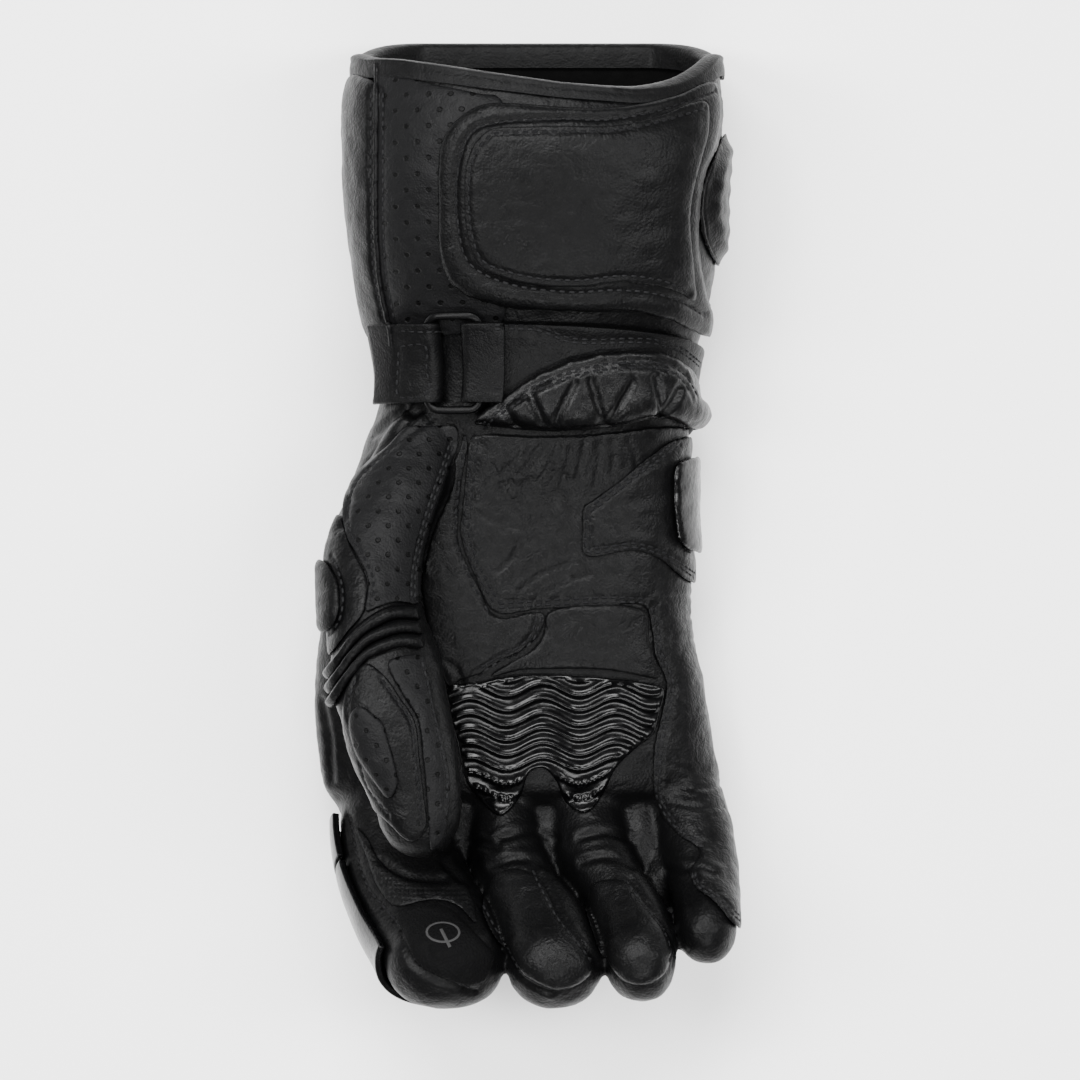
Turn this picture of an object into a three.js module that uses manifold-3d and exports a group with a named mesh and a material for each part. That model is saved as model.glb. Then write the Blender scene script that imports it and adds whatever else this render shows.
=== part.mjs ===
// A right-hand leather riding glove with a long cuff, lying on its back with the palm up.
// Millimetres. X runs from the thumb side to the little finger, Y from the fingers to the cuff,
// and Z up from the back of the hand to the palm. The origin is on the flat back of the hand.

import * as THREE from 'three';
import { mergeVertices } from 'three/addons/utils/BufferGeometryUtils.js';
import Module from 'manifold-3d';

// Hand
const handWidth = 124;
const handLength = 124;
const handDepth = 56;
const palmHollow = 4;
const wristPlace = 40;
const handOverrun = 3.4;
const hollowPlace = 5;
const hollowSpread = 21;

// Cuff
const cuffLength = 116;
const cuffWidth = 119;
const cuffDepth = 88;
const rimSlant = 22;
const sideDip = 0.62;
const rimLift = 2.6;
const bindingDepth = 6;
const guardPlace = 65;
const guardHeight = 45.8;
const guardLength = 40.6;
const guardDepth = 47.5;

// Fingers and thumb
const fingerLength = 84;
const fingerDepth = 33;
const fingerLift = 18;
const fingerTuck = 18;
const fingerDome = 13.2;
const fingerRise = THREE.MathUtils.degToRad(12);
const fingerCurl = THREE.MathUtils.degToRad(44);
const thumbLength = 134;
const thumbWidth = 36;
const thumbDepth = 34;
const thumbHeight = 76;
const thumbDome = 15.3;
const thumbStart = 2.5;

// Leather, padding and fittings
const leather = 2;
const overlay = 1.2;
const padding = 2.4;
const gap = 0.35;
const strapWidth = 24;
const strapLeather = 1.6;
const strapDroop = 9.3;
const strapEnd = THREE.MathUtils.degToRad(-14);
const ringWire = 2.3;
const ringLength = 31;
const ringSpan = 17;
const ringPlace = 14;
const ringLeft = -32.6;
const anchorDouble = 12;
const anchorReach = 16.4;
const strapDouble = 6.1;
const plateThickness = 2.2;
const heelRoll = 5;
const flapLift = 6;
const sliderThickness = 2.6;

// Facets, and how square the sections are: 2 is an ellipse
const bodySides = 26;
const fingerSides = 12;
const thumbSides = 16;
const bodyRoundness = 2.6;
const fingerRoundness = 2.3;
const bodySunk = 0.05;
const domeShares = [0.6, 0.92];
const sharpestMitre = 0.4;

const { lerp, smoothstep } = THREE.MathUtils;

// Widths of the cuff from the wrist seam to the rim. Columns: share of the cuff length,
// edge on the thumb side and edge on the little finger side as shares of the cuff width,
// height as a share of the cuff depth.
const cuffRows = [
  [0.00, -0.424, 0.385, 0.70],
  [0.08, -0.414, 0.392, 0.715],
  [0.15, -0.422, 0.405, 0.74],
  [0.24, -0.440, 0.430, 0.80],
  [0.35, -0.460, 0.452, 0.88],
  [0.45, -0.472, 0.460, 0.94],
  [0.60, -0.484, 0.466, 0.985],
  [0.75, -0.488, 0.474, 1.00],
  [0.88, -0.486, 0.474, 0.99],
  [1.00, -0.482, 0.466, 0.97],
];

// Widths of the hand from the wrist seam to the finger roots. Columns: share of the hand length,
// both edges as shares of the hand width, height as a share of the hand depth.
const handRows = [
  [0.08, -0.440, 0.360, 1.04],
  [0.20, -0.480, 0.357, 1.00],
  [0.33, -0.500, 0.362, 0.97],
  [0.43, -0.525, 0.370, 0.94],
  [0.52, -0.548, 0.367, 0.92],
  [0.68, -0.570, 0.400, 0.87],
  [0.84, -0.566, 0.424, 0.80],
  [0.95, -0.546, 0.443, 0.73],
  [1.02, -0.505, 0.420, 0.56],
];

// Fingers. Columns of rows: share of the finger's length, middle and width as shares of the
// hand width, depth as a share of the finger depth.
const fingers = [
  { name: 'index_finger', reach: 1.00, rows: [
    [0.00, -0.355, 0.260, 0.88], [0.30, -0.361, 0.288, 1.00], [0.52, -0.338, 0.300, 0.97],
    [0.76, -0.281, 0.318, 0.92], [1.00, -0.236, 0.290, 0.84]] },
  { name: 'middle_finger', reach: 1.00, rows: [
    [0.00, -0.097, 0.190, 0.90], [0.30, -0.094, 0.190, 1.00], [0.52, -0.074, 0.200, 0.97],
    [0.76, -0.001, 0.228, 0.92], [1.00, 0.036, 0.232, 0.84]] },
  { name: 'ring_finger', reach: 0.98, rows: [
    [0.00, 0.112, 0.200, 0.88], [0.30, 0.117, 0.204, 0.96], [0.52, 0.143, 0.206, 0.93],
    [0.76, 0.217, 0.190, 0.88], [1.00, 0.250, 0.176, 0.80]] },
  { name: 'little_finger', reach: 0.86, rows: [
    [0.00, 0.322, 0.160, 0.76], [0.30, 0.362, 0.196, 0.84], [0.52, 0.388, 0.184, 0.80],
    [0.76, 0.405, 0.164, 0.74], [1.00, 0.414, 0.150, 0.68]] },
];

// Thumb. Columns: share of the thumb's length from the wrist, middle as a share of the hand
// width, height of the middle as a share of the thumb height, width and depth as shares.
const thumbRows = [
  [0.00, -0.290, 0.64, 0.54, 0.56],
  [0.16, -0.338, 0.70, 0.79, 0.82],
  [0.31, -0.400, 0.76, 0.82, 0.94],
  [0.47, -0.406, 0.84, 0.78, 0.98],
  [0.60, -0.379, 0.90, 0.90, 1.00],
  [0.72, -0.364, 0.95, 0.96, 0.98],
  [0.85, -0.332, 0.98, 0.89, 0.92],
  [1.00, -0.295, 0.99, 0.72, 0.82],
];

// Outlines seen from the palm. Columns: share of the cuff width, share of the cuff length.
const flapOutline = [
  [-0.150, 0.775], [-0.226, 0.716], [-0.257, 0.647], [-0.262, 0.560], [-0.257, 0.450],
  [-0.245, 0.355], [-0.200, 0.308], [-0.112, 0.275], [0.051, 0.260], [0.220, 0.258],
  [0.310, 0.236], [0.400, 0.178], [0.440, 0.150], [0.452, 0.240], [0.425, 0.350],
  [0.395, 0.470], [0.396, 0.600], [0.415, 0.720], [0.430, 0.800], [0.300, 0.786], [0.060, 0.776],
];
const flapPadOutline = [
  [-0.134, 0.719], [-0.172, 0.688], [-0.190, 0.606], [-0.193, 0.525], [-0.185, 0.438],
  [-0.157, 0.374], [-0.089, 0.336], [0.058, 0.313], [0.205, 0.320], [0.269, 0.314],
  [0.335, 0.288], [0.372, 0.300], [0.362, 0.479], [0.365, 0.600], [0.380, 0.735],
  [0.250, 0.734], [0.051, 0.724],
];
const perforatedOutline = [
  [-0.408, 0.885], [-0.412, 0.702], [-0.411, 0.444], [-0.403, 0.305], [-0.384, 0.240],
  [-0.140, 0.240], [-0.140, 0.850], [-0.273, 0.862],
];
const sideBulgeOutline = [
  [-0.600, 0.905], [-0.418, 0.905], [-0.422, 0.702], [-0.421, 0.444], [-0.412, 0.305],
  [-0.398, 0.250], [-0.600, 0.250],
];
const heelOutline = [
  [-0.154, -0.042], [-0.097, 0.007], [-0.069, 0.051], [-0.036, 0.072], [0.015, 0.090],
  [0.102, 0.118], [0.228, 0.136], [0.313, 0.131], [0.364, 0.116], [0.410, 0.090],
  [0.480, 0.060], [0.480, 0.000], [0.400, -0.047], [0.313, -0.029], [0.228, -0.047],
  [0.143, -0.057], [0.015, -0.057],
];

// Outlines on the hand. Columns: share of the hand width, and shares of the hand length from
// the wrist, with what is past 1 in shares of the finger length.
const palmOverlayOutline = [
  [-0.164, 0.050], [-0.194, 0.149], [-0.206, 0.273], [-0.201, 0.323], [-0.164, 0.380],
  [-0.114, 0.499], [0.132, 0.489], [0.265, 0.489], [0.285, 0.600], [0.315, 0.663],
  [0.313, 0.720], [0.295, 0.759], [0.283, 0.945], [0.293, 1.007], [0.397, 1.128],
  [0.362, 1.201], [0.480, 1.370], [0.571, 1.370], [0.571, 0.066], [0.300, 0.056],
];
const heelPadOutline = [
  [0.339, 0.063], [0.302, 0.095], [0.213, 0.162], [0.144, 0.219], [0.114, 0.236],
  [0.102, 0.355], [0.171, 0.350], [0.225, 0.345], [0.275, 0.355], [0.314, 0.380],
  [0.369, 0.419], [0.520, 0.430], [0.520, 0.063],
];
const sliderOutline = [
  [0.341, 0.143], [0.359, 0.128], [0.470, 0.128], [0.470, 0.340], [0.361, 0.335],
  [0.344, 0.315],
];
const lowerLeftOutline = [
  [-0.114, 0.499], [0.015, 0.492], [0.000, 0.561], [-0.030, 0.598], [-0.084, 0.633],
  [-0.136, 0.665], [-0.223, 0.695], [-0.268, 0.620], [-0.285, 0.501], [-0.298, 0.417],
  [-0.288, 0.347], [-0.270, 0.288], [-0.248, 0.216], [-0.221, 0.139], [-0.203, 0.087],
  [-0.150, 0.050], [-0.180, 0.273],
];
const lowerMiddleOutline = [
  [0.015, 0.492], [0.266, 0.480], [0.276, 0.571], [0.298, 0.658], [0.298, 0.680],
  [0.204, 0.665], [0.122, 0.658], [0.040, 0.653], [-0.042, 0.655], [-0.137, 0.673],
  [-0.084, 0.633], [-0.030, 0.598], [0.000, 0.561],
];
const gripOutline = [
  [-0.232, 0.691], [-0.149, 0.676], [-0.042, 0.659], [0.040, 0.656], [0.122, 0.661],
  [0.204, 0.669], [0.267, 0.681], [0.299, 0.691], [0.284, 0.761], [0.274, 0.823],
  [0.247, 0.856], [0.190, 0.881], [0.157, 0.968], [0.107, 1.000], [0.057, 0.980],
  [0.030, 0.918], [0.000, 0.878], [-0.020, 0.878], [-0.042, 0.968], [-0.085, 1.000],
  [-0.144, 1.000], [-0.182, 0.945], [-0.225, 0.843],
];
const thenarOutline = [
  [-0.329, 0.050], [-0.280, 0.043], [-0.211, 0.045], [-0.201, 0.089], [-0.219, 0.141],
  [-0.246, 0.217], [-0.268, 0.288], [-0.282, 0.347], [-0.295, 0.416], [-0.295, 0.475],
  [-0.351, 0.472], [-0.403, 0.487], [-0.427, 0.497], [-0.422, 0.418], [-0.452, 0.355],
  [-0.474, 0.318], [-0.486, 0.264], [-0.464, 0.200], [-0.403, 0.136], [-0.373, 0.099],
];
const knucklePanelOutline = [
  [-0.487, 0.263], [-0.475, 0.320], [-0.428, 0.416], [-0.438, 0.495], [-0.487, 0.554],
  [-0.524, 0.611], [-0.620, 0.569], [-0.620, 0.340],
];
const knucklePadOutline = [
  [-0.524, 0.367], [-0.500, 0.416], [-0.492, 0.466], [-0.500, 0.522], [-0.530, 0.547],
  [-0.600, 0.530], [-0.600, 0.372],
];
const tipPanelOutline = [
  [-0.425, 0.640], [-0.454, 0.667], [-0.489, 0.716], [-0.484, 0.777], [-0.462, 0.850],
  [-0.435, 0.914], [-0.386, 0.997], [-0.342, 1.067], [-0.313, 1.090], [-0.288, 1.071],
  [-0.283, 1.024], [-0.290, 0.904], [-0.298, 0.811], [-0.307, 0.777], [-0.322, 0.745],
  [-0.371, 0.680],
];
const tipPadOutline = [
  [-0.441, 0.732], [-0.400, 0.762], [-0.375, 0.798], [-0.360, 0.864], [-0.355, 0.925],
  [-0.371, 0.946], [-0.395, 0.925], [-0.436, 0.864], [-0.452, 0.810], [-0.456, 0.769],
];
const tipSideOutline = [
  [-0.340, 0.670], [-0.285, 0.625], [-0.278, 0.679], [-0.268, 0.752], [-0.226, 0.884],
  [-0.222, 0.941], [-0.226, 1.013], [-0.246, 1.090], [-0.290, 1.112],
];

// Edges of the three stretch ribs over the thumb, from the palm side to the back
const ribTop = [
  [-0.294, 0.488], [-0.358, 0.490], [-0.417, 0.517], [-0.471, 0.561], [-0.508, 0.610],
  [-0.600, 0.680],
];
const ribBottom = [
  [-0.279, 0.585], [-0.328, 0.585], [-0.380, 0.597], [-0.421, 0.614], [-0.451, 0.641],
  [-0.600, 0.775],
];
const ribCount = 3;

// Solids

const wasm = await Module();
wasm.setup();

function toSolid(geometry) {
  const bare = geometry.clone();
  bare.deleteAttribute('normal');
  bare.deleteAttribute('uv');
  const merged = mergeVertices(bare, 1e-4);
  return new wasm.Manifold(new wasm.Mesh({
    numProp: 3,
    vertProperties: new Float32Array(merged.attributes.position.array),
    triVerts: new Uint32Array(merged.index.array),
  }));
}

function toGeometry(solid) {
  const mesh = solid.getMesh();
  const indexed = new THREE.BufferGeometry();
  indexed.setAttribute('position', new THREE.BufferAttribute(mesh.vertProperties, 3));
  indexed.setIndex(new THREE.BufferAttribute(mesh.triVerts, 1));
  indexed.computeVertexNormals();
  return indexed;
}

// A solid from points and faces, turned right side out
function closedSolid(points, faces) {
  const geometry = new THREE.BufferGeometry().setFromPoints(points);
  geometry.setIndex(faces);
  const solid = toSolid(geometry);
  if (solid.volume() > 0) {
    return solid;
  }
  for (let face = 0; face < faces.length; face += 3) {
    [faces[face + 1], faces[face + 2]] = [faces[face + 2], faces[face + 1]];
  }
  geometry.setIndex(faces);
  return toSolid(geometry);
}

// Joins rings of points into a closed skin. With two end points it is capped, and without them
// the last ring joins the first one.
function skinOf(rings, ends) {
  const points = rings.flat();
  const sides = rings[0].length;
  const faces = [];
  const joins = ends ? rings.length - 1 : rings.length;
  for (let row = 0; row < joins; row += 1) {
    const next = (row + 1) % rings.length;
    for (let side = 0; side < sides; side += 1) {
      const across = (side + 1) % sides;
      faces.push(row * sides + side, row * sides + across, next * sides + across);
      faces.push(row * sides + side, next * sides + across, next * sides + side);
    }
  }
  if (ends) {
    const first = points.push(ends[0]) - 1;
    const last = points.push(ends[1]) - 1;
    const lastRing = (rings.length - 1) * sides;
    for (let side = 0; side < sides; side += 1) {
      const across = (side + 1) % sides;
      faces.push(first, across, side);
      faces.push(last, lastRing + side, lastRing + across);
    }
  }
  return closedSolid(points, faces);
}

function middleOf(ring) {
  const middle = new THREE.Vector3();
  for (const point of ring) {
    middle.addScaledVector(point, 1 / ring.length);
  }
  return middle;
}

// A closed sheet of two faces over a grid, with pointAt(across, along, face) from 0 to 1
function sheetOf(columns, rows, pointAt) {
  const points = [];
  for (let face = 0; face < 2; face += 1) {
    for (let row = 0; row <= rows; row += 1) {
      for (let column = 0; column <= columns; column += 1) {
        points.push(pointAt(column / columns, row / rows, face));
      }
    }
  }
  const at = (column, row, face) => (face * (rows + 1) + row) * (columns + 1) + column;
  const faces = [];
  const quad = (a, b, c, d) => faces.push(a, b, c, a, c, d);
  for (let row = 0; row < rows; row += 1) {
    for (let column = 0; column < columns; column += 1) {
      quad(at(column, row, 1), at(column + 1, row, 1), at(column + 1, row + 1, 1),
        at(column, row + 1, 1));
      quad(at(column, row, 0), at(column, row + 1, 0), at(column + 1, row + 1, 0),
        at(column + 1, row, 0));
    }
    quad(at(0, row, 0), at(0, row, 1), at(0, row + 1, 1), at(0, row + 1, 0));
    quad(at(columns, row, 0), at(columns, row + 1, 0), at(columns, row + 1, 1),
      at(columns, row, 1));
  }
  for (let column = 0; column < columns; column += 1) {
    quad(at(column, 0, 0), at(column + 1, 0, 0), at(column + 1, 0, 1), at(column, 0, 1));
    quad(at(column, rows, 0), at(column, rows, 1), at(column + 1, rows, 1),
      at(column + 1, rows, 0));
  }
  return closedSolid(points, faces);
}

// Smooth reading of a table at a share along it
function readRows(rows, share) {
  const last = rows.length - 1;
  let row = 0;
  while (row < last - 1 && share > rows[row + 1][0]) {
    row += 1;
  }
  const before = rows[Math.max(row - 1, 0)];
  const from = rows[row];
  const to = rows[row + 1];
  const after = rows[Math.min(row + 2, last)];
  const way = (share - from[0]) / (to[0] - from[0]);
  return from.map((value, column) => {
    const slopeIn = (to[column] - before[column]) / 2;
    const slopeOut = (after[column] - from[column]) / 2;
    const rise = to[column] - value;
    const bend = slopeIn * way * (1 - way) ** 2 - slopeOut * way ** 2 * (1 - way);
    return value + rise * way * way * (3 - 2 * way) + bend;
  });
}

function roundPower(value, roundness) {
  return Math.sign(value) * Math.abs(value) ** (2 / roundness);
}

// Cross-sections of the hand and the cuff as one run, from the finger roots to the rim
const bodyRows = [
  ...handRows.map(([along, low, high, height]) => [
    wristPlace - along * handLength, low * handWidth, high * handWidth, height * handDepth,
  ]).reverse(),
  ...cuffRows.map(([along, low, high, height]) => [
    wristPlace + along * cuffLength, low * cuffWidth, high * cuffWidth, height * cuffDepth,
  ]),
];

// How far the rim falls back at a share of the height: the sides first, and then the palm side
function rimDip(risen) {
  return lerp(smoothstep(risen, 0, 0.45), smoothstep(risen, 0.62, 1), sideDip);
}

function bodyPoint(place, angle, offset) {
  const [, low, high, height] = readRows(bodyRows, place);
  const alongCuff = (place - wristPlace) / cuffLength;
  const rise = rimLift * smoothstep(alongCuff, 0.8, 1);
  const sunk = height * bodySunk;
  const middle = (height - sunk) / 2;
  const across = (high - low) / 2 + offset;
  const up = (height + sunk) / 2 + offset;
  const x = (high + low) / 2 + across * roundPower(Math.cos(angle), bodyRoundness);
  let z = middle + up * roundPower(Math.sin(angle), bodyRoundness);
  const alongHand = (wristPlace - place) / handLength;
  const hollow = smoothstep(alongHand, 0.05, 0.3) * (1 - smoothstep(alongHand, 0.7, 0.95));
  if (z > middle) {
    z -= palmHollow * hollow * Math.exp(-(((x - hollowPlace) / hollowSpread) ** 2));
  }
  z = Math.max(z, rise - offset);
  const dip = rimDip(z / height);
  const slant = rimSlant * Math.max(alongCuff, 0) ** 3 * dip;
  return new THREE.Vector3(x, place - slant, z);
}

function bodyRing(place, offset) {
  const ring = [];
  for (let side = 0; side < bodySides; side += 1) {
    ring.push(bodyPoint(place, (side / bodySides) * Math.PI * 2, offset));
  }
  return ring;
}

// Solid run of the body between two places, as thick as the skin plus an offset
function bodyRun(places, offset) {
  const rings = places.map((place) => bodyRing(place, offset));
  return skinOf(rings, [middleOf(rings[0]), middleOf(rings[rings.length - 1])]);
}

function spaced(from, to, count) {
  return Array.from({ length: count + 1 }, (_, step) => lerp(from, to, step / count));
}

const rimPlace = wristPlace + cuffLength;
const rootPlace = wristPlace - handLength;
const handEnd = rootPlace - handOverrun;
const cuffPlaces = [...spaced(wristPlace, wristPlace + 0.45 * cuffLength, 4),
  wristPlace + 0.65 * cuffLength, wristPlace + 0.82 * cuffLength,
  rimPlace - bindingDepth, rimPlace];
const handPlaces = [handEnd, ...spaced(rootPlace + 0.02 * handLength, wristPlace, 7)];

// Fingers curl upwards on an arc, and each section stands square to it
function fingerPoint(finger, share, angle, offset) {
  const length = (fingerLength + fingerTuck) * finger.reach - fingerDepth * 0.7;
  const turned = fingerRise + fingerCurl * share;
  const back = length * (Math.sin(turned) - Math.sin(fingerRise)) / fingerCurl;
  const lift = length * (Math.cos(fingerRise) - Math.cos(turned)) / fingerCurl;
  const [, middle, width, depth] = readRows(finger.rows, share);
  const across = (width * handWidth / 2 + offset) * roundPower(Math.cos(angle), fingerRoundness);
  const up = (depth * fingerDepth / 2 + offset) * roundPower(Math.sin(angle), fingerRoundness);
  return new THREE.Vector3(
    middle * handWidth + across,
    rootPlace + fingerTuck - back + up * Math.sin(turned),
    fingerLift + lift + up * Math.cos(turned),
  );
}

function fingerAhead(distance) {
  const turned = fingerRise + fingerCurl;
  return new THREE.Vector3(0, -Math.cos(turned) * distance, Math.sin(turned) * distance);
}

// Rings of a domed tip past the last section
function domedRings(ringAt, aheadOf, depth) {
  const last = ringAt(1);
  const middle = middleOf(last);
  return domeShares.map((share) => last.map((point) => point.clone().lerp(
    middle, 1 - Math.sqrt(1 - share ** 2)).add(aheadOf(depth * share))));
}

function fingerSolid(finger, offset, steps = 6) {
  const ringAt = (share) => Array.from({ length: fingerSides }, (_, side) => (
    fingerPoint(finger, share, (side / fingerSides) * Math.PI * 2, offset)));
  const dome = fingerDome + offset;
  const rings = [...spaced(0, 1, steps).map(ringAt), ...domedRings(ringAt, fingerAhead, dome)];
  const end = middleOf(ringAt(1)).add(fingerAhead(dome));
  return skinOf(rings, [middleOf(rings[0]), end]);
}

// The thumb runs over the palm's edge, with sections across the glove
function thumbPoint(share, angle, offset) {
  const [, middle, height, width, depth] = readRows(thumbRows, share);
  const across = width * thumbWidth / 2 + offset;
  const up = depth * thumbDepth / 2 + offset;
  return new THREE.Vector3(
    middle * handWidth + across * roundPower(Math.cos(angle), fingerRoundness),
    wristPlace - thumbStart - share * (thumbLength - thumbDome),
    height * thumbHeight + up * roundPower(Math.sin(angle), fingerRoundness),
  );
}

function thumbSolid(offset, steps = 8) {
  const ringAt = (share) => Array.from({ length: thumbSides }, (_, side) => (
    thumbPoint(share, (side / thumbSides) * Math.PI * 2, offset)));
  const dome = thumbDome + offset;
  const ahead = (distance) => new THREE.Vector3(0, -distance, 0);
  const rings = [...spaced(0, 1, steps).map(ringAt), ...domedRings(ringAt, ahead, dome)];
  const end = middleOf(ringAt(1)).add(ahead(dome));
  return skinOf(rings, [middleOf(rings[0]), end]);
}

// Prisms of outlines

const skyHigh = 2 * cuffDepth;

function onCuff(outline) {
  return outline.map(([across, along]) => new THREE.Vector2(
    across * cuffWidth, wristPlace + along * cuffLength));
}

function onHand(outline) {
  return outline.map(([across, along]) => new THREE.Vector2(
    across * handWidth,
    wristPlace - Math.min(along, 1) * handLength - Math.max(along - 1, 0) * fingerLength));
}

function rounded(points, steps) {
  return new THREE.SplineCurve([...points, points[0]]).getPoints(points.length * steps).slice(1);
}

function grown(points, distance) {
  const turn = THREE.ShapeUtils.isClockWise(points) ? -1 : 1;
  return points.map((point, place) => {
    const before = points[(place + points.length - 1) % points.length];
    const after = points[(place + 1) % points.length];
    const inward = point.clone().sub(before).normalize();
    const outward = after.clone().sub(point).normalize();
    const along = inward.clone().add(outward).normalize();
    const stretch = Math.min(1 / Math.max(along.dot(inward), sharpestMitre), 2);
    return new THREE.Vector2(along.y, -along.x).multiplyScalar(turn * distance * stretch).add(point);
  });
}

function prism(points, bottom) {
  const geometry = new THREE.ExtrudeGeometry(new THREE.Shape(points), {
    depth: skyHigh, bevelEnabled: false, curveSegments: 1,
  });
  geometry.translate(0, 0, bottom);
  return toSolid(geometry);
}

function without(solid, ...cuts) {
  return cuts.reduce((left, cut) => left.subtract(cut), solid);
}

function together(solids) {
  return solids.reduce((whole, solid) => whole.add(solid));
}

// Main forms at any offset from the leather's outer face

function handForm(offset) {
  return bodyRun(handPlaces, offset);
}

function palmForm(offset) {
  return together([handForm(offset), ...fingers.map((finger) => fingerSolid(finger, offset))]);
}

function layer(form, points, bottom, low, high) {
  return without(form(high).intersect(prism(points, bottom)), form(low));
}

// Heights over the leather at which the first and second layers lie
const first = gap;
const second = gap + overlay + gap;

// Levels down to which the panels come round the sides of the cuff, the hand and the thumb
const bulgeLevel = 0.2 * cuffDepth;
const perforatedLevel = 0.5 * cuffDepth;
const flapLevel = 0.45 * cuffDepth;
const flapPadLevel = 0.55 * cuffDepth;
const sideLevel = 0.28 * handDepth;
const heelPadLevel = 0.42 * handDepth;
const sliderLevel = 0.55 * handDepth;
const thenarLevel = 0.95 * handDepth;
const thumbLevel = 0.82 * thumbHeight;
const tipLevel = 0.97 * thumbHeight;
const parts = [];

function addPart(name, solid, colour, roughness, metalness = 0) {
  parts.push({ name, solid, colour, roughness, metalness });
}

const blackLeather = 0x17171a;
const softLeather = 0x1d1d20;
const shinyRubber = 0x0c0c0e;
const wovenFabric = 0x202023;
const coatedMetal = 0x222225;

// Shells of the cuff, the hand, the thumb and the fingers

const cuffOuter = bodyRun(cuffPlaces, 0);
const cuffInner = bodyRun([wristPlace - leather, ...cuffPlaces.slice(2, 5),
  rimPlace - bindingDepth, rimPlace, rimPlace + rimLift], -leather);
addPart('cuff_shell', without(cuffOuter, cuffInner), blackLeather, 0.55);

const handOuter = bodyRun([...handPlaces.slice(0, -1), wristPlace - gap], 0);
const handInnerPlaces = [handEnd + leather, ...spaced(rootPlace + leather, wristPlace + leather, 4)];
const handInner = bodyRun(handInnerPlaces, -leather);
const thumbInner = thumbSolid(-leather, 5);
const fingerInners = fingers.map((finger) => fingerSolid(finger, -leather, 4));
addPart('hand_shell', without(handOuter, handInner, thumbInner, ...fingerInners),
  blackLeather, 0.55);

const handClear = handForm(gap);
addPart('thumb_shell', without(thumbSolid(0), thumbInner, handClear), blackLeather, 0.55);
fingers.forEach((finger, place) => {
  addPart(finger.name, without(fingerSolid(finger, 0), fingerInners[place], handClear),
    blackLeather, 0.5);
});

// Folded binding round the rim, over both faces of the cuff's wall

const bindingProfile = [
  [gap, -bindingDepth], [gap + overlay, -bindingDepth], [gap + overlay, 2 * gap],
  [-leather / 2, 2 * gap + overlay], [-leather - gap - overlay, 2 * gap],
  [-leather - gap - overlay, -bindingDepth], [-leather - gap, -bindingDepth],
  [-leather - gap, 2 * gap], [gap, 2 * gap],
];
const bindingRings = Array.from({ length: bodySides }, (_, side) => {
  const angle = (side / bodySides) * Math.PI * 2;
  return bindingProfile.map(([offset, along]) => {
    const point = bodyPoint(rimPlace + Math.min(along, 0), angle, offset);
    point.y += Math.max(along, 0);
    return point;
  });
});
addPart('rim_binding', skinOf(bindingRings, null), softLeather, 0.5);

// Panels of the cuff

function cuffForm(offset) {
  return bodyRun(cuffPlaces, offset);
}

const rimEdge = [];
for (let side = 0; side <= bodySides / 2; side += 1) {
  const edge = bodyPoint(rimPlace, (side / bodySides) * Math.PI * 2, 0);
  rimEdge.push(new THREE.Vector2(edge.x * 1.2, edge.y - bindingDepth - gap));
}
const aboveRim = prism([...rimEdge, new THREE.Vector2(-cuffWidth, 2 * rimPlace),
  new THREE.Vector2(cuffWidth, 2 * rimPlace)], 0);

addPart('perforated_panel', without(layer(cuffForm, onCuff(perforatedOutline), perforatedLevel,
  first, first + overlay), aboveRim), softLeather, 0.6);

const bulge = layer(cuffForm, onCuff(sideBulgeOutline), bulgeLevel, first, first + padding);
addPart('thumb_side_bulge', without(bulge, aboveRim), blackLeather, 0.5);

// The flap lies on the panel at its upper end and stands off over the strap at its lower lip
function flapForm(offset) {
  const rings = cuffPlaces.map((place) => {
    const share = (place - wristPlace) / cuffLength;
    const lift = flapLift * (1 - smoothstep(share, 0.1, 0.62));
    return bodyRing(place, offset + lift);
  });
  return skinOf(rings, [middleOf(rings[0]), middleOf(rings[rings.length - 1])]);
}

const flapPoints = rounded(onCuff(flapOutline), 2);
const flap = layer(flapForm, flapPoints, flapLevel, second, second + padding);
addPart('closure_flap', without(flap, aboveRim), blackLeather, 0.45);
const flapTop = second + padding + gap;
addPart('flap_pad', layer(flapForm, onCuff(flapPadOutline), flapPadLevel,
  flapTop, flapTop + overlay), blackLeather, 0.4);

// Oval guard over the wrist bone, on the little finger side of the cuff
const guardShape = new THREE.Shape().absellipse(
  wristPlace + guardPlace, guardHeight, guardLength / 2, guardDepth / 2, 0, Math.PI * 2);
const guardGeometry = new THREE.ExtrudeGeometry(guardShape, {
  depth: cuffWidth, bevelEnabled: false, curveSegments: 10,
});
guardGeometry.rotateX(Math.PI / 2);
guardGeometry.rotateZ(Math.PI / 2);
const guardPrism = toSolid(guardGeometry);
const guardBand = without(cuffForm(first + padding + overlay).intersect(guardPrism),
  cuffForm(first));
addPart('wrist_guard', without(guardBand, prism(grown(flapPoints, gap), bulgeLevel)),
  blackLeather, 0.45);

// Strap ring lying along the wrist, and the two straps folded round its bars

function surfaceAngle(x, place) {
  const [, low, high] = readRows(bodyRows, place);
  const share = THREE.MathUtils.clamp((x - (high + low) / 2) / ((high - low) / 2), -1, 1);
  return Math.acos(Math.sign(share) * Math.abs(share) ** (bodyRoundness / 2));
}

function surfacePoint(x, place, height) {
  return bodyPoint(place, surfaceAngle(x, place), height);
}

const ringMiddle = wristPlace + ringPlace;
const ringRight = ringLeft + ringSpan;
const strapBed = 4 * gap;
const wireLow = strapBed + strapLeather + gap;
const foldTop = wireLow + ringWire + gap;
const ringCorner = 2 * ringWire;

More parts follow.
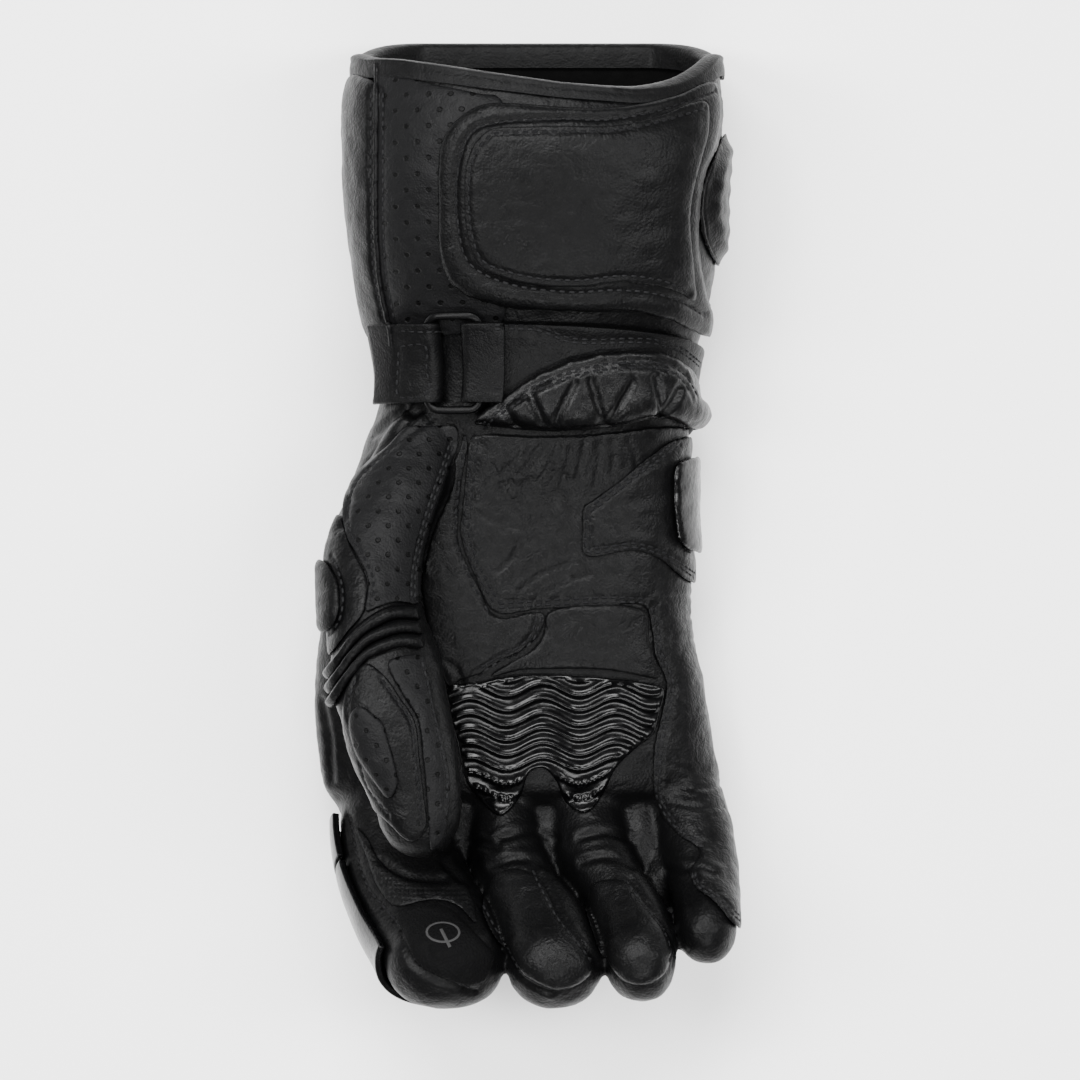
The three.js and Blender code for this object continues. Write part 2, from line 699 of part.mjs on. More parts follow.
function ringWall(inset, height) {
  const shape = new THREE.Shape();
  const across = ringSpan / 2 - inset;
  const along = ringLength / 2 - inset;
  const corner = ringCorner - inset;
  shape.absarc(across - corner, along - corner, corner, 0, Math.PI / 2);
  shape.absarc(corner - across, along - corner, corner, Math.PI / 2, Math.PI);
  shape.absarc(corner - across, corner - along, corner, Math.PI, Math.PI * 1.5);
  shape.absarc(across - corner, corner - along, corner, Math.PI * 1.5, Math.PI * 2);
  return shape.getPoints(2).map((point) => surfacePoint(
    ringLeft + ringSpan / 2 + point.x, ringMiddle + point.y, height));
}

function ringSolid(extra) {
  const low = wireLow - extra;
  const high = wireLow + ringWire + extra;
  return skinOf([ringWall(-extra, low), ringWall(-extra, high),
    ringWall(ringWire + extra, high), ringWall(ringWire + extra, low)], null);
}

addPart('strap_ring', ringSolid(0), coatedMetal, 0.35, 0.6);

// A strap of two layers joined by a fold round a bar. Stations hold an angle round the wrist
// and a height over the leather; droop lowers the strap towards its far end.
const wristRadius = 0.4 * cuffWidth;
const foldRadius = (foldTop - strapBed) / 2;
const foldHeight = (foldTop + strapBed + strapLeather) / 2;

function foldedStations(angles, foldX, side) {
  const foldAngle = surfaceAngle(foldX, ringMiddle);
  const level = (height) => angles.map((angle) => [angle, height]);
  const turn = [60, 0, -60].map((degrees) => {
    const swing = THREE.MathUtils.degToRad(degrees);
    return [foldAngle - side * foldRadius * Math.cos(swing) / wristRadius,
      foldHeight + foldRadius * Math.sin(swing)];
  });
  const top = foldTop + strapLeather / 2;
  const low = strapBed + strapLeather / 2;
  return [...level(top), [foldAngle, top], ...turn, [foldAngle, low], ...level(low).reverse()];
}

function strapSolid(stations, middleAt, extra) {
  const width = strapWidth + 2 * extra;
  const thickness = strapLeather + 2 * extra;
  return sheetOf(2, stations.length - 1, (across, along, face) => {
    const place = Math.round(along * (stations.length - 1));
    const [angle, height] = stations[place];
    const before = stations[Math.max(place - 1, 0)];
    const after = stations[Math.min(place + 1, stations.length - 1)];
    const run = new THREE.Vector2((after[0] - before[0]) * wristRadius, after[1] - before[1]);
    run.normalize().multiplyScalar((face - 0.5) * thickness);
    const turned = angle - run.y / wristRadius;
    return bodyPoint(middleAt(angle) + (across - 0.5) * width, turned, height + run.x);
  });
}

const tongueLevel = strapBed + strapLeather / 2;
const anchorFar = surfaceAngle(ringLeft - anchorReach, ringMiddle);
const anchorDoubled = surfaceAngle(ringLeft - anchorDouble, ringMiddle);
const anchorNear = surfaceAngle(ringLeft, ringMiddle);
const anchorX = ringLeft + ringWire + gap;
const ringClear = ringSolid(gap);
const anchorStations = [...foldedStations([anchorDoubled, anchorNear], anchorX, 1),
  [lerp(anchorDoubled, anchorFar, 0.5), tongueLevel], [anchorFar, tongueLevel]];
const anchor = strapSolid(anchorStations, () => ringMiddle, 0);
addPart('strap_anchor', without(anchor, ringClear), blackLeather, 0.5);

const strapX = ringRight - ringWire - 2 * gap;
const strapNear = surfaceAngle(ringRight, ringMiddle);
const doubledEnd = surfaceAngle(ringRight + strapDouble, ringMiddle);

function strapMiddle(angle) {
  const share = THREE.MathUtils.clamp((strapNear - angle) / (strapNear - strapEnd), 0, 1);
  return ringMiddle - strapDroop * share ** 1.5;
}

function tongue(extra) {
  const turnedBack = doubledEnd - 3 * extra / wristRadius;
  return [...foldedStations([turnedBack, strapNear], strapX, -1),
    ...spaced(turnedBack, strapEnd, 9).slice(1).map((angle) => [angle, tongueLevel])];
}

const strapClear = strapSolid(tongue(gap), strapMiddle, 2 * gap);
addPart('wrist_strap', without(strapSolid(tongue(0), strapMiddle, 0), ringClear),
  blackLeather, 0.45);

// Quilted roll over the heel of the hand

function wristForm(offset) {
  return bodyRun([...spaced(wristPlace - 0.2 * handLength, wristPlace + 0.3 * cuffLength, 9)],
    offset);
}

const heelBase = strapBed + strapLeather + gap;
const roll = layer(wristForm, rounded(onCuff(heelOutline), 2), sideLevel, heelBase,
  heelBase + heelRoll);
addPart('heel_roll', without(roll, strapClear), blackLeather, 0.35);

// Palm panels. Each is cut clear of those laid before it and of the thumb.

const thenarPoints = onHand(thenarOutline);
const thumbClear = thumbSolid(second);
const palmPanels = [
  ['palm_overlay', palmOverlayOutline, blackLeather, 0.45],
  ['lower_palm_panel', lowerLeftOutline, softLeather, 0.5],
  ['finger_root_panel', lowerMiddleOutline, softLeather, 0.5],
  ['grip_panel', gripOutline, shinyRubber, 0.15],
];
const laid = [prism(grown(thenarPoints, gap), 0), strapClear];
for (const [name, outline, colour, roughness] of palmPanels) {
  const points = onHand(outline);
  const panel = layer(palmForm, points, sideLevel, first, first + overlay);
  addPart(name, without(panel, thumbClear, ...laid), colour, roughness);
  laid.push(prism(grown(points, gap), 0));
}

addPart('heel_pad', without(layer(handForm, onHand(heelPadOutline), heelPadLevel, second,
  second + overlay), prism(grown(rounded(onCuff(heelOutline), 2), gap), 0)), blackLeather, 0.45);
const sliderBase = second + overlay + gap;
addPart('palm_slider', layer(handForm, onHand(sliderOutline), sliderLevel, sliderBase,
  sliderBase + sliderThickness), shinyRubber, 0.2);

// Thumb panels

const thenarClear = prism(grown(thenarPoints, gap), 0);
addPart('thenar_panel', without(layer(thumbSolid, thenarPoints, thenarLevel, first,
  first + overlay), handClear), softLeather, 0.6);
addPart('knuckle_panel', without(layer(thumbSolid, onHand(knucklePanelOutline), thumbLevel,
  first, first + overlay), thenarClear), blackLeather, 0.45);
addPart('knuckle_pad', layer(thumbSolid, onHand(knucklePadOutline), thumbLevel + overlay,
  second, second + padding), blackLeather, 0.4);

function between(share) {
  return ribTop.map(([across, along], place) => [
    lerp(across, ribBottom[place][0], share), lerp(along, ribBottom[place][1], share),
  ]);
}

const knuckleClear = prism(grown(onHand(knucklePanelOutline), gap), 0);
const ribSpan = (ribBottom[0][1] - ribTop[0][1]) * handLength;
for (let rib = 0; rib < ribCount; rib += 1) {
  const upper = between(rib / ribCount);
  const lower = between((rib + 1) / ribCount - gap / ribSpan);
  const points = onHand([...upper, ...lower.reverse()]);
  addPart(`thumb_rib_${rib + 1}`, without(layer(thumbSolid, points, thumbLevel, first,
    first + padding), knuckleClear, thenarClear), blackLeather, 0.4);
}

const ribsClear = prism(grown(onHand([...between(0), ...between(1).reverse()]), gap), 0);
const tipPanelPoints = onHand(tipPanelOutline);
addPart('tip_panel', without(layer(thumbSolid, tipPanelPoints, tipLevel, first,
  first + overlay), ribsClear), blackLeather, 0.45);
addPart('tip_pad', layer(thumbSolid, onHand(tipPadOutline), tipLevel, second,
  second + padding), blackLeather, 0.45);
addPart('tip_side_panel', without(layer(thumbSolid, onHand(tipSideOutline), tipLevel, first,
  first + overlay), ribsClear, prism(grown(tipPanelPoints, gap), 0)), softLeather, 0.6);

// Index finger: touch patch on its pad, and two plates over its back

function fingerPatch(finger, [from, to], [low, high], bottom, thickness) {
  const patch = sheetOf(6, 4, (across, along, face) => {
    const share = lerp(from, to, along);
    const angle = THREE.MathUtils.degToRad(lerp(low, high, across));
    return fingerPoint(finger, share, angle, bottom + face * thickness);
  });
  return without(patch, handClear);
}

// Shares of the finger's length, and degrees round it from the little finger side over the pad
const [indexFinger] = fingers;
const touchShares = [0.66, 0.98];
const touchAngles = [38, 128];
const plateShares = [[0.30, 0.50], [0.52, 1]];
const plateAngles = [158, 292];
const plateStand = 3 * gap;
addPart('touch_patch', fingerPatch(indexFinger, touchShares, touchAngles, 2 * gap, overlay),
  wovenFabric, 0.75);
plateShares.forEach((shares, place) => {
  addPart(`index_plate_${place + 1}`, fingerPatch(indexFinger, shares, plateAngles,
    plateStand, plateThickness), shinyRubber, 0.3);
});

// Nodes of the glove

const glove = new THREE.Group();
for (const { name, solid, colour, roughness, metalness } of parts) {
  const material = new THREE.MeshStandardMaterial({ color: colour, roughness, metalness });
  const mesh = new THREE.Mesh(toGeometry(solid), material);
  mesh.name = name;
  glove.add(mesh);
}

export default glove;
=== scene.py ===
import math

import bpy
import numpy as np
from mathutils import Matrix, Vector, kdtree, noise
from mathutils.bvhtree import BVHTree


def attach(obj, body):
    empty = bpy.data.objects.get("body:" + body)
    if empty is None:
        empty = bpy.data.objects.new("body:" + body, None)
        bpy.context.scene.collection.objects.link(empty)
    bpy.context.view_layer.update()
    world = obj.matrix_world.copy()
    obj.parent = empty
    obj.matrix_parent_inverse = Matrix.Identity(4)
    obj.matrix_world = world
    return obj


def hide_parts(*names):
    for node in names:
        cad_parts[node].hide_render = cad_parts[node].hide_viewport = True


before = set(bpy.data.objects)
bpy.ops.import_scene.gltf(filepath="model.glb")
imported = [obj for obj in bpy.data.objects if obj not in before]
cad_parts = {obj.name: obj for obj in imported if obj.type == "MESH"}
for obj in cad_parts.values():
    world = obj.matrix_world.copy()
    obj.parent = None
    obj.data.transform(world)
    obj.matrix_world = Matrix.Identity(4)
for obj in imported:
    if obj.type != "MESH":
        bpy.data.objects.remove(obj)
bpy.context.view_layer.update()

# Camera, straight over the palm at 1.6 m, where the photograph was taken from. Its picture is
# square and 343 mm wide at the floor.
camera_height = 1.6
picture_width = 0.34344
picture_pixels = 1080
film_width = 36
bpy.ops.object.select_all(action="DESELECT")
bpy.ops.object.camera_add(location=(0, 0, camera_height), rotation=(0, 0, 0))
camera = bpy.context.object
camera.data.sensor_width = film_width
camera.data.lens = film_width * camera_height / picture_width
camera.data.clip_end = 20
bpy.context.scene.camera = camera

# Pale floor, and soft light from large panels: one overhead towards the cuff, one on each side
# and one at the fingers.
floor_size = 6
floor_drop = 0.0005
bpy.ops.mesh.primitive_plane_add(size=floor_size, location=(0, 0, -floor_drop))
floor = bpy.context.object
floor.name = "floor"
floor_paint = bpy.data.materials.new("floor_paint")
floor_paint.use_nodes = True
floor_shader = floor_paint.node_tree.nodes["Principled BSDF"]
floor_shader.inputs["Base Color"].default_value = (0.98, 0.98, 0.98, 1)
floor_shader.inputs["Roughness"].default_value = 0.9
floor.data.materials.append(floor_paint)

world = bpy.data.worlds.new("studio")
bpy.context.scene.world = world
world.use_nodes = True
world.node_tree.nodes["Background"].inputs["Color"].default_value = (1, 1, 1, 1)
world.node_tree.nodes["Background"].inputs["Strength"].default_value = 0.32


def soft_light(name, place, aim, width, height, power):
    bpy.ops.object.light_add(type="AREA", location=place)
    light = bpy.context.object
    light.name = name
    light.data.shape = "RECTANGLE"
    light.data.size = width
    light.data.size_y = height
    light.data.energy = power
    toward = Vector(aim) - Vector(place)
    light.rotation_euler = toward.to_track_quat("-Z", "Y").to_euler()


soft_light("cuff_light", (-0.15, 0.75, 1.3), (0, 0.02, 0.03), 0.9, 0.4, 42)
soft_light("thumb_light", (-0.8, 0.15, 1.35), (0, 0, 0.03), 0.4, 0.9, 30)
soft_light("little_light", (0.85, 0.1, 1.3), (0, 0, 0.03), 0.4, 0.9, 26)
soft_light("finger_light", (0.1, -0.85, 1.25), (0, -0.05, 0.03), 0.8, 0.3, 20)

# Leather skin of the glove: cuff, hand, thumb and four curled fingers, cut from 2 mm hide and
# sewn into one skin. Its sections are those of the solids, in metres. The outer form is drawn
# here, and every panel and pad below is laid on it.
hand_width = 0.124
hand_length = 0.124
hand_depth = 0.056
palm_hollow = 0.004
hollow_place = 0.005
hollow_spread = 0.021
wrist_place = 0.040
cuff_length = 0.116
cuff_width = 0.119
cuff_depth = 0.088
rim_slant = 0.022
rim_lift = 0.0026
side_dip = 0.62
finger_length = 0.084
finger_depth = 0.033
finger_lift = 0.018
finger_tuck = 0.018
finger_dome = 0.0132
finger_rise = math.radians(12)
finger_curl = math.radians(44)
thumb_length = 0.134
thumb_width = 0.036
thumb_depth = 0.034
thumb_height = 0.076
thumb_dome = 0.0153
thumb_start = 0.0025
root_overlap = 0.0034
hide = 0.002
skin_voxel = 0.0012
body_roundness = 2.6
finger_roundness = 2.3
cuff_rows = [
    (0.00, -0.424, 0.385, 0.70), (0.08, -0.414, 0.392, 0.715), (0.15, -0.422, 0.405, 0.74),
    (0.24, -0.440, 0.430, 0.80), (0.35, -0.460, 0.452, 0.88), (0.45, -0.472, 0.460, 0.94),
    (0.60, -0.484, 0.466, 0.985), (0.75, -0.488, 0.474, 1.00), (0.88, -0.486, 0.474, 0.99),
    (1.00, -0.482, 0.466, 0.97),
]
hand_rows = [
    (0.08, -0.440, 0.360, 1.04), (0.20, -0.480, 0.357, 1.00), (0.33, -0.500, 0.362, 0.97),
    (0.43, -0.525, 0.370, 0.94), (0.52, -0.548, 0.367, 0.92), (0.68, -0.570, 0.400, 0.87),
    (0.84, -0.566, 0.424, 0.80), (0.95, -0.546, 0.443, 0.73), (1.02, -0.505, 0.420, 0.56),
]
finger_rows = {
    "index": (1.00, [
        (0.00, -0.355, 0.260, 0.88), (0.30, -0.361, 0.288, 1.00), (0.52, -0.338, 0.300, 0.97),
        (0.76, -0.281, 0.318, 0.92), (1.00, -0.236, 0.290, 0.84)]),
    "middle": (1.00, [
        (0.00, -0.097, 0.190, 0.90), (0.30, -0.094, 0.190, 1.00), (0.52, -0.074, 0.200, 0.97),
        (0.76, -0.001, 0.228, 0.92), (1.00, 0.036, 0.232, 0.84)]),
    "ring": (0.98, [
        (0.00, 0.112, 0.200, 0.88), (0.30, 0.117, 0.204, 0.96), (0.52, 0.143, 0.206, 0.93),
        (0.76, 0.217, 0.190, 0.88), (1.00, 0.250, 0.176, 0.80)]),
    "little": (0.86, [
        (0.00, 0.322, 0.160, 0.76), (0.30, 0.362, 0.196, 0.84), (0.52, 0.388, 0.184, 0.80),
        (0.76, 0.405, 0.164, 0.74), (1.00, 0.414, 0.150, 0.68)]),
}
thumb_rows = [
    (0.00, -0.290, 0.64, 0.54, 0.56), (0.16, -0.338, 0.70, 0.79, 0.82),
    (0.31, -0.400, 0.76, 0.82, 0.94), (0.47, -0.406, 0.84, 0.78, 0.98),
    (0.60, -0.379, 0.90, 0.90, 1.00), (0.72, -0.364, 0.95, 0.96, 0.98),
    (0.85, -0.332, 0.98, 0.89, 0.92), (1.00, -0.295, 0.99, 0.72, 0.82),
]
body_rows = [
    (wrist_place - along * hand_length, low * hand_width, high * hand_width, up * hand_depth)
    for along, low, high, up in reversed(hand_rows)
] + [
    (wrist_place + along * cuff_length, low * cuff_width, high * cuff_width, up * cuff_depth)
    for along, low, high, up in cuff_rows
]
root_place = wrist_place - hand_length
rim_place = wrist_place + cuff_length


def ease(value, low, high):
    share = np.clip((value - low) / (high - low), 0, 1)
    return share * share * (3 - 2 * share)


def read_rows(rows, share):
    """A smooth section between the rows of a table."""
    last = len(rows) - 1
    row = 0
    while row < last - 1 and share > rows[row + 1][0]:
        row += 1
    before = np.array(rows[max(row - 1, 0)])
    start = np.array(rows[row])
    end = np.array(rows[row + 1])
    after = np.array(rows[min(row + 2, last)])
    way = (share - start[0]) / (end[0] - start[0])
    bend = (end - before) / 2 * way * (1 - way) ** 2
    bend -= (after - start) / 2 * way**2 * (1 - way)
    return start + (end - start) * way * way * (3 - 2 * way) + bend


def round_power(value, roundness):
    """Bends a circle towards a rounded box."""
    return np.sign(value) * np.abs(value) ** (2 / roundness)


def body_points(place, angles, offset):
    """Points round the cuff or hand at a place along it, an offset out from the skin."""
    angles = np.asarray(angles, dtype=float)
    _, low, high, height = read_rows(body_rows, place)
    along_cuff = (place - wrist_place) / cuff_length
    rise = rim_lift * ease(along_cuff, 0.8, 1)
    sunk = height * 0.05
    middle = (height - sunk) / 2
    across = (high - low) / 2 + offset
    up = (height + sunk) / 2 + offset
    x = (high + low) / 2 + across * round_power(np.cos(angles), body_roundness)
    z = middle + up * round_power(np.sin(angles), body_roundness)
    along_hand = (wrist_place - place) / hand_length
    hollow = ease(along_hand, 0.05, 0.3) * (1 - ease(along_hand, 0.7, 0.95))
    pressed = palm_hollow * hollow * np.exp(-(((x - hollow_place) / hollow_spread) ** 2))
    z = np.where(z > middle, z - pressed, z)
    z = np.maximum(z, rise - offset)
    risen = z / height
    lean = np.interp(x, (-0.05, -0.036, -0.017, 0.006, 0.028), (0.45, 0.6, 0.75, 0.9, 0.98))
    top = ease(risen, 0.62, 1)
    dip = (ease(risen, 0, 0.45) * (1 - side_dip) + top * side_dip) * (1 - top * (1 - lean))
    y = place - rim_slant * max(along_cuff, 0) ** 3 * dip
    return np.stack([x, y, z], axis=-1)


def finger_points(finger, share, angles, offset):
    """Points round a finger, which curls up from its root along an arc."""
    angles = np.asarray(angles, dtype=float)
    reach, rows = finger_rows[finger]
    length = (finger_length + finger_tuck) * reach - finger_depth * 0.7
    turned = finger_rise + finger_curl * share
    back = length * (math.sin(turned) - math.sin(finger_rise)) / finger_curl
    lift = length * (math.cos(finger_rise) - math.cos(turned)) / finger_curl
    _, middle, width, depth = read_rows(rows, share)
    across = (width * hand_width / 2 + offset) * round_power(np.cos(angles), finger_roundness)
    up = (depth * finger_depth / 2 + offset) * round_power(np.sin(angles), finger_roundness)
    x = middle * hand_width + across
    y = root_place + finger_tuck - back + up * math.sin(turned)
    z = finger_lift + lift + up * math.cos(turned)
    return np.stack([x, y, z], axis=-1)


def thumb_points(share, angles, offset):
    """Points round the thumb at a share of its length."""
    angles = np.asarray(angles, dtype=float)
    _, middle, height, width, depth = read_rows(thumb_rows, share)
    across = width * thumb_width / 2 + offset
    up = depth * thumb_depth / 2 + offset
    x = middle * hand_width + across * round_power(np.cos(angles), finger_roundness)
    y = wrist_place - thumb_start - share * (thumb_length - thumb_dome) + 0 * x
    z = height * thumb_height + up * round_power(np.sin(angles), finger_roundness)
    return np.stack([x, y, z], axis=-1)


def alone(piece):
    bpy.ops.object.select_all(action="DESELECT")
    piece.select_set(True)
    bpy.context.view_layer.objects.active = piece


def edit(piece, *steps):
    alone(piece)
    bpy.ops.object.mode_set(mode="EDIT")
    bpy.ops.mesh.select_mode(type="VERT")
    bpy.ops.mesh.select_all(action="SELECT")
    for step in steps:
        step()
    bpy.ops.object.mode_set(mode="OBJECT")


def close_up():
    bpy.ops.mesh.remove_doubles(threshold=0.000005)
    bpy.ops.mesh.normals_make_consistent(inside=False)


def grid(name, points):
    """A grid primitive with its vertices set to rows of points."""
    rows, columns = points.shape[:2]
    bpy.ops.object.select_all(action="DESELECT")
    bpy.ops.mesh.primitive_grid_add(x_subdivisions=columns - 1, y_subdivisions=rows - 1, size=1)
    piece = bpy.context.object
    piece.name = name
    piece.data.name = name
    piece.data.vertices.foreach_set("co", points.reshape(-1))
    piece.data.update()
    return piece


def tube(name, rings):
    """Rings of points joined round, with both ends drawn together."""
    rings = [np.vstack([ring, ring[:1]]) for ring in rings]
    start = np.repeat(rings[0][:-1].mean(axis=0)[None], len(rings[0]), axis=0)
    end = np.repeat(rings[-1][:-1].mean(axis=0)[None], len(rings[0]), axis=0)
    piece = grid(name, np.array([start, *rings, end]))
    edit(piece, close_up)
    return piece


def modify(piece, kind, **settings):
    alone(piece)
    modifier = piece.modifiers.new(kind.lower(), kind)
    for key, value in settings.items():
        setattr(modifier, key, value)
    bpy.ops.object.modifier_apply(modifier=modifier.name)


def cut(piece, tool, operation, keep_tool=False):
    modify(piece, "BOOLEAN", object=tool, operation=operation, solver="MANIFOLD")
    if not keep_tool:
        bpy.data.objects.remove(tool)


def domed(rings, ahead):
    """Closes the last ring with a rounded tip."""
    last = rings[-1]
    middle = last.mean(axis=0)
    shares = (0.2, 0.38, 0.54, 0.68, 0.8, 0.89, 0.95, 0.985, 0.999)
    for share in shares:
        drawn = 1 - math.sqrt(1 - share**2)
        rings.append(last + (middle - last) * drawn + ahead * share)
    return rings


def body_form(name, low, high, step, offset, sides=128):
    angles = np.linspace(0, 2 * math.pi, sides, endpoint=False)
    count = max(int(round((high - low) / step)), 1)
    return tube(name, [body_points(place, angles, offset)
                       for place in np.linspace(low, high, count + 1)])


def finger_form(name, finger, offset, sides=48, steps=26):
    angles = np.linspace(0, 2 * math.pi, sides, endpoint=False)
    turned = finger_rise + finger_curl
    ahead = np.array([0, -math.cos(turned), math.sin(turned)]) * (finger_dome + offset)
    rings = [finger_points(finger, share, angles, offset) for share in np.linspace(0, 1, steps)]
    return tube(name, domed(rings, ahead))


def thumb_form(name, offset, sides=56, steps=34):
    angles = np.linspace(0, 2 * math.pi, sides, endpoint=False)
    ahead = np.array([0, -1, 0]) * (thumb_dome + offset)
    rings = [thumb_points(share, angles, offset) for share in np.linspace(0, 1, steps)]
    return tube(name, domed(rings, ahead))


def read_points(piece):
    points = np.empty(len(piece.data.vertices) * 3)
    piece.data.vertices.foreach_get("co", points)
    return points.reshape(-1, 3)


def write_points(piece, points):
    piece.data.vertices.foreach_set("co", points.reshape(-1))
    piece.data.update()


def read_normals(piece):
    normals = np.empty(len(piece.data.vertices) * 3)
    piece.data.vertices.foreach_get("normal", normals)
    return normals.reshape(-1, 3)


def tree_of(*pieces):
    points, faces, start = [], [], 0
    for piece in pieces:
        points.extend(map(tuple, read_points(piece)))
        faces.extend(tuple(v + start for v in face.vertices) for face in piece.data.polygons)
        start = len(points)
    return BVHTree.FromPolygons(points, faces)


skin = body_form("skin", root_place - root_overlap, rim_place, 0.003, 0)
forms = [finger_form(f"{finger}_form", finger, 0) for finger in finger_rows]
forms.append(thumb_form("thumb_form", 0))
# Webs between the roots of the fingers: the middle of each and its reach.
webs = [((-0.0245, -0.090, 0.024), (0.010, 0.020, 0.013)),
        ((0.0025, -0.096, 0.026), (0.008, 0.020, 0.012)),
        ((0.0310, -0.098, 0.025), (0.009, 0.022, 0.012)),
        ((0.0370, -0.108, 0.030), (0.007, 0.014, 0.010))]
for middle, reach in webs:
    bpy.ops.object.select_all(action="DESELECT")
    bpy.ops.mesh.primitive_uv_sphere_add(segments=24, ring_count=14, location=middle, scale=reach)
    forms.append(bpy.context.object)
    bpy.ops.object.transform_apply(location=True, rotation=True, scale=True)
bpy.ops.object.select_all(action="DESELECT")
for form in forms:
    form.select_set(True)
skin.select_set(True)
bpy.context.view_layer.objects.active = skin
bpy.ops.object.join()
skin.data.remesh_voxel_size = skin_voxel
skin.data.remesh_voxel_adaptivity = 0
alone(skin)
bpy.ops.object.voxel_remesh()
modify(skin, "SMOOTH", factor=0.5, iterations=12)
skin_tree = tree_of(skin)


def looking(x, y):
    """The ray of the camera through a pixel of the photograph."""
    scale = picture_width / picture_pixels
    target = Vector(((x - picture_pixels / 2) * scale, (picture_pixels / 2 - y) * scale, 0))
    start = Vector((0, 0, camera_height))
    return start, (target - start).normalized()


def seen(pixels, tree=None, level=0.03):
    """Places in the glove's own x and y of pixels of the photograph."""
    found = []
    for x, y in pixels:
        start, toward = looking(x, y)
        hit = (tree or skin_tree).ray_cast(start, toward)[0]
        if hit is None:
            hit = start + toward * ((level - start.z) / toward.z)
        found.append((hit.x, hit.y))
    return np.array(found)


def flowing(points, spacing=0.0012, closed=True):
    """A smooth line through points, in even steps."""
    points = np.asarray(points, dtype=float)
    count = len(points)
    line = []
    for place in range(count if closed else count - 1):
        if closed:
            a, b, c, d = (points[(place + k) % count] for k in (-1, 0, 1, 2))
        else:
            a, b, c, d = (points[min(max(place + k, 0), count - 1)] for k in (-1, 0, 1, 2))
        before = max(np.linalg.norm(b - a), 1e-9) ** 0.5
        across = max(np.linalg.norm(c - b), 1e-9) ** 0.5
        after = max(np.linalg.norm(d - c), 1e-9) ** 0.5
        leave = (b - a) / before - (c - a) / (before + across) + (c - b) / across
        arrive = (c - b) / across - (d - b) / (across + after) + (d - c) / after
        leave, arrive = leave * across, arrive * across
        steps = max(int(np.linalg.norm(c - b) / spacing), 1)
        for step in range(steps):
            t = step / steps
            line.append((2 * t**3 - 3 * t**2 + 1) * b + (t**3 - 2 * t**2 + t) * leave
                        + (3 * t**2 - 2 * t**3) * c + (t**3 - t**2) * arrive)
    if not closed:
        line.append(points[-1])
    return np.array(line)


def distance_to(points, line, closed=False):
    """Distance of each point from a line, both in x and y."""
    line = np.asarray(line)
    ends = np.roll(line, -1, axis=0) if closed else line[1:]
    starts = line if closed else line[:-1]
    best = np.full(len(points), 1.0)
    for a, b in zip(starts, ends):
        run = b - a
        share = np.clip(((points - a) @ run) / max(run @ run, 1e-12), 0, 1)
        away = points - (a + share[:, None] * run)
        best = np.minimum(best, np.hypot(away[:, 0], away[:, 1]))
    return best


def rough(points, size, seed=0.0, stretch=(1, 1, 1)):
    """Soft noise over points, with hills of about the given size."""
    scaled = points * (np.array(stretch) / size) + seed
    return np.array([noise.noise(Vector(point)) for point in scaled])


def folds(points, lines, width, depth):
    """Heights of creases along lines, each with a soft roll on both sides."""
    total = np.zeros(len(points))
    for line in lines:
        away = distance_to(points[:, :2], line)
        total -= depth * np.exp(-((away / width) ** 2))
        total += 0.45 * depth * np.exp(-(((away - 1.9 * width) / width) ** 2))
    return total


# Folds pressed into the hide, as lines of pixels of the photograph: beside the thumb's root,
# down the back's edge, over the finger joints and across the finger roots. The hide between
# them is softly uneven, but flat where it lies on the floor.
fold_width = 0.0011
fold_depth = 0.0007
skin_folds = [
    [(421, 411), (400, 432), (380, 452), (366, 466)],
    [(432, 418), (412, 434), (396, 448)],
    [(405, 408), (388, 424), (372, 436)],
    [(345, 470), (352, 500), (344, 530)],
    [(446, 660), (456, 668), (462, 682)],
    [(447, 850), (470, 842), (498, 846)],
    [(500, 838), (530, 832), (556, 840)],
    [(580, 838), (606, 832), (634, 842)],
    [(492, 866), (520, 858), (548, 866)],
    [(582, 862), (606, 856), (634, 866)],
    [(668, 872), (690, 868), (712, 876)],
    [(380, 862), (410, 878), (446, 880)],
    [(322, 700), (330, 740), (332, 780)],
    [(436, 845), (446, 868), (470, 884)],
]


def crease_lines(lines):
    """Creases given in pixels of the photograph, as flowing lines on the skin."""
    return [flowing(seen(line), 0.002, False) for line in lines]


skin_points = read_points(skin)
facing = np.clip(read_normals(skin)[:, 2] * 2 + 0.3, 0, 1)
moved = folds(skin_points, crease_lines(skin_folds), fold_width, fold_depth) * facing
above_floor = np.clip(skin_points[:, 2] / 0.01, 0, 1)
moved += 0.00045 * rough(skin_points, 0.016, 3.1) * above_floor
moved += 0.00025 * rough(skin_points, 0.0055, 6.4, (1, 1.7, 1)) * above_floor
write_points(skin, skin_points + read_normals(skin) * moved[:, None])
skin_tree = tree_of(skin)
skin_points = read_points(skin)
skin_normals = read_normals(skin)


def wired(tree, kind, inputs, **settings):
    """A shader node with its settings, its inputs given as constants or as other outputs."""
    made = tree.nodes.new("ShaderNode" + kind)
    for key, value in settings.items():
        setattr(made, key, value)
    for socket, value in inputs.items():
        if isinstance(value, bpy.types.NodeSocket):
            tree.links.new(value, made.inputs[socket])
        else:
            made.inputs[socket].default_value = value
    return made


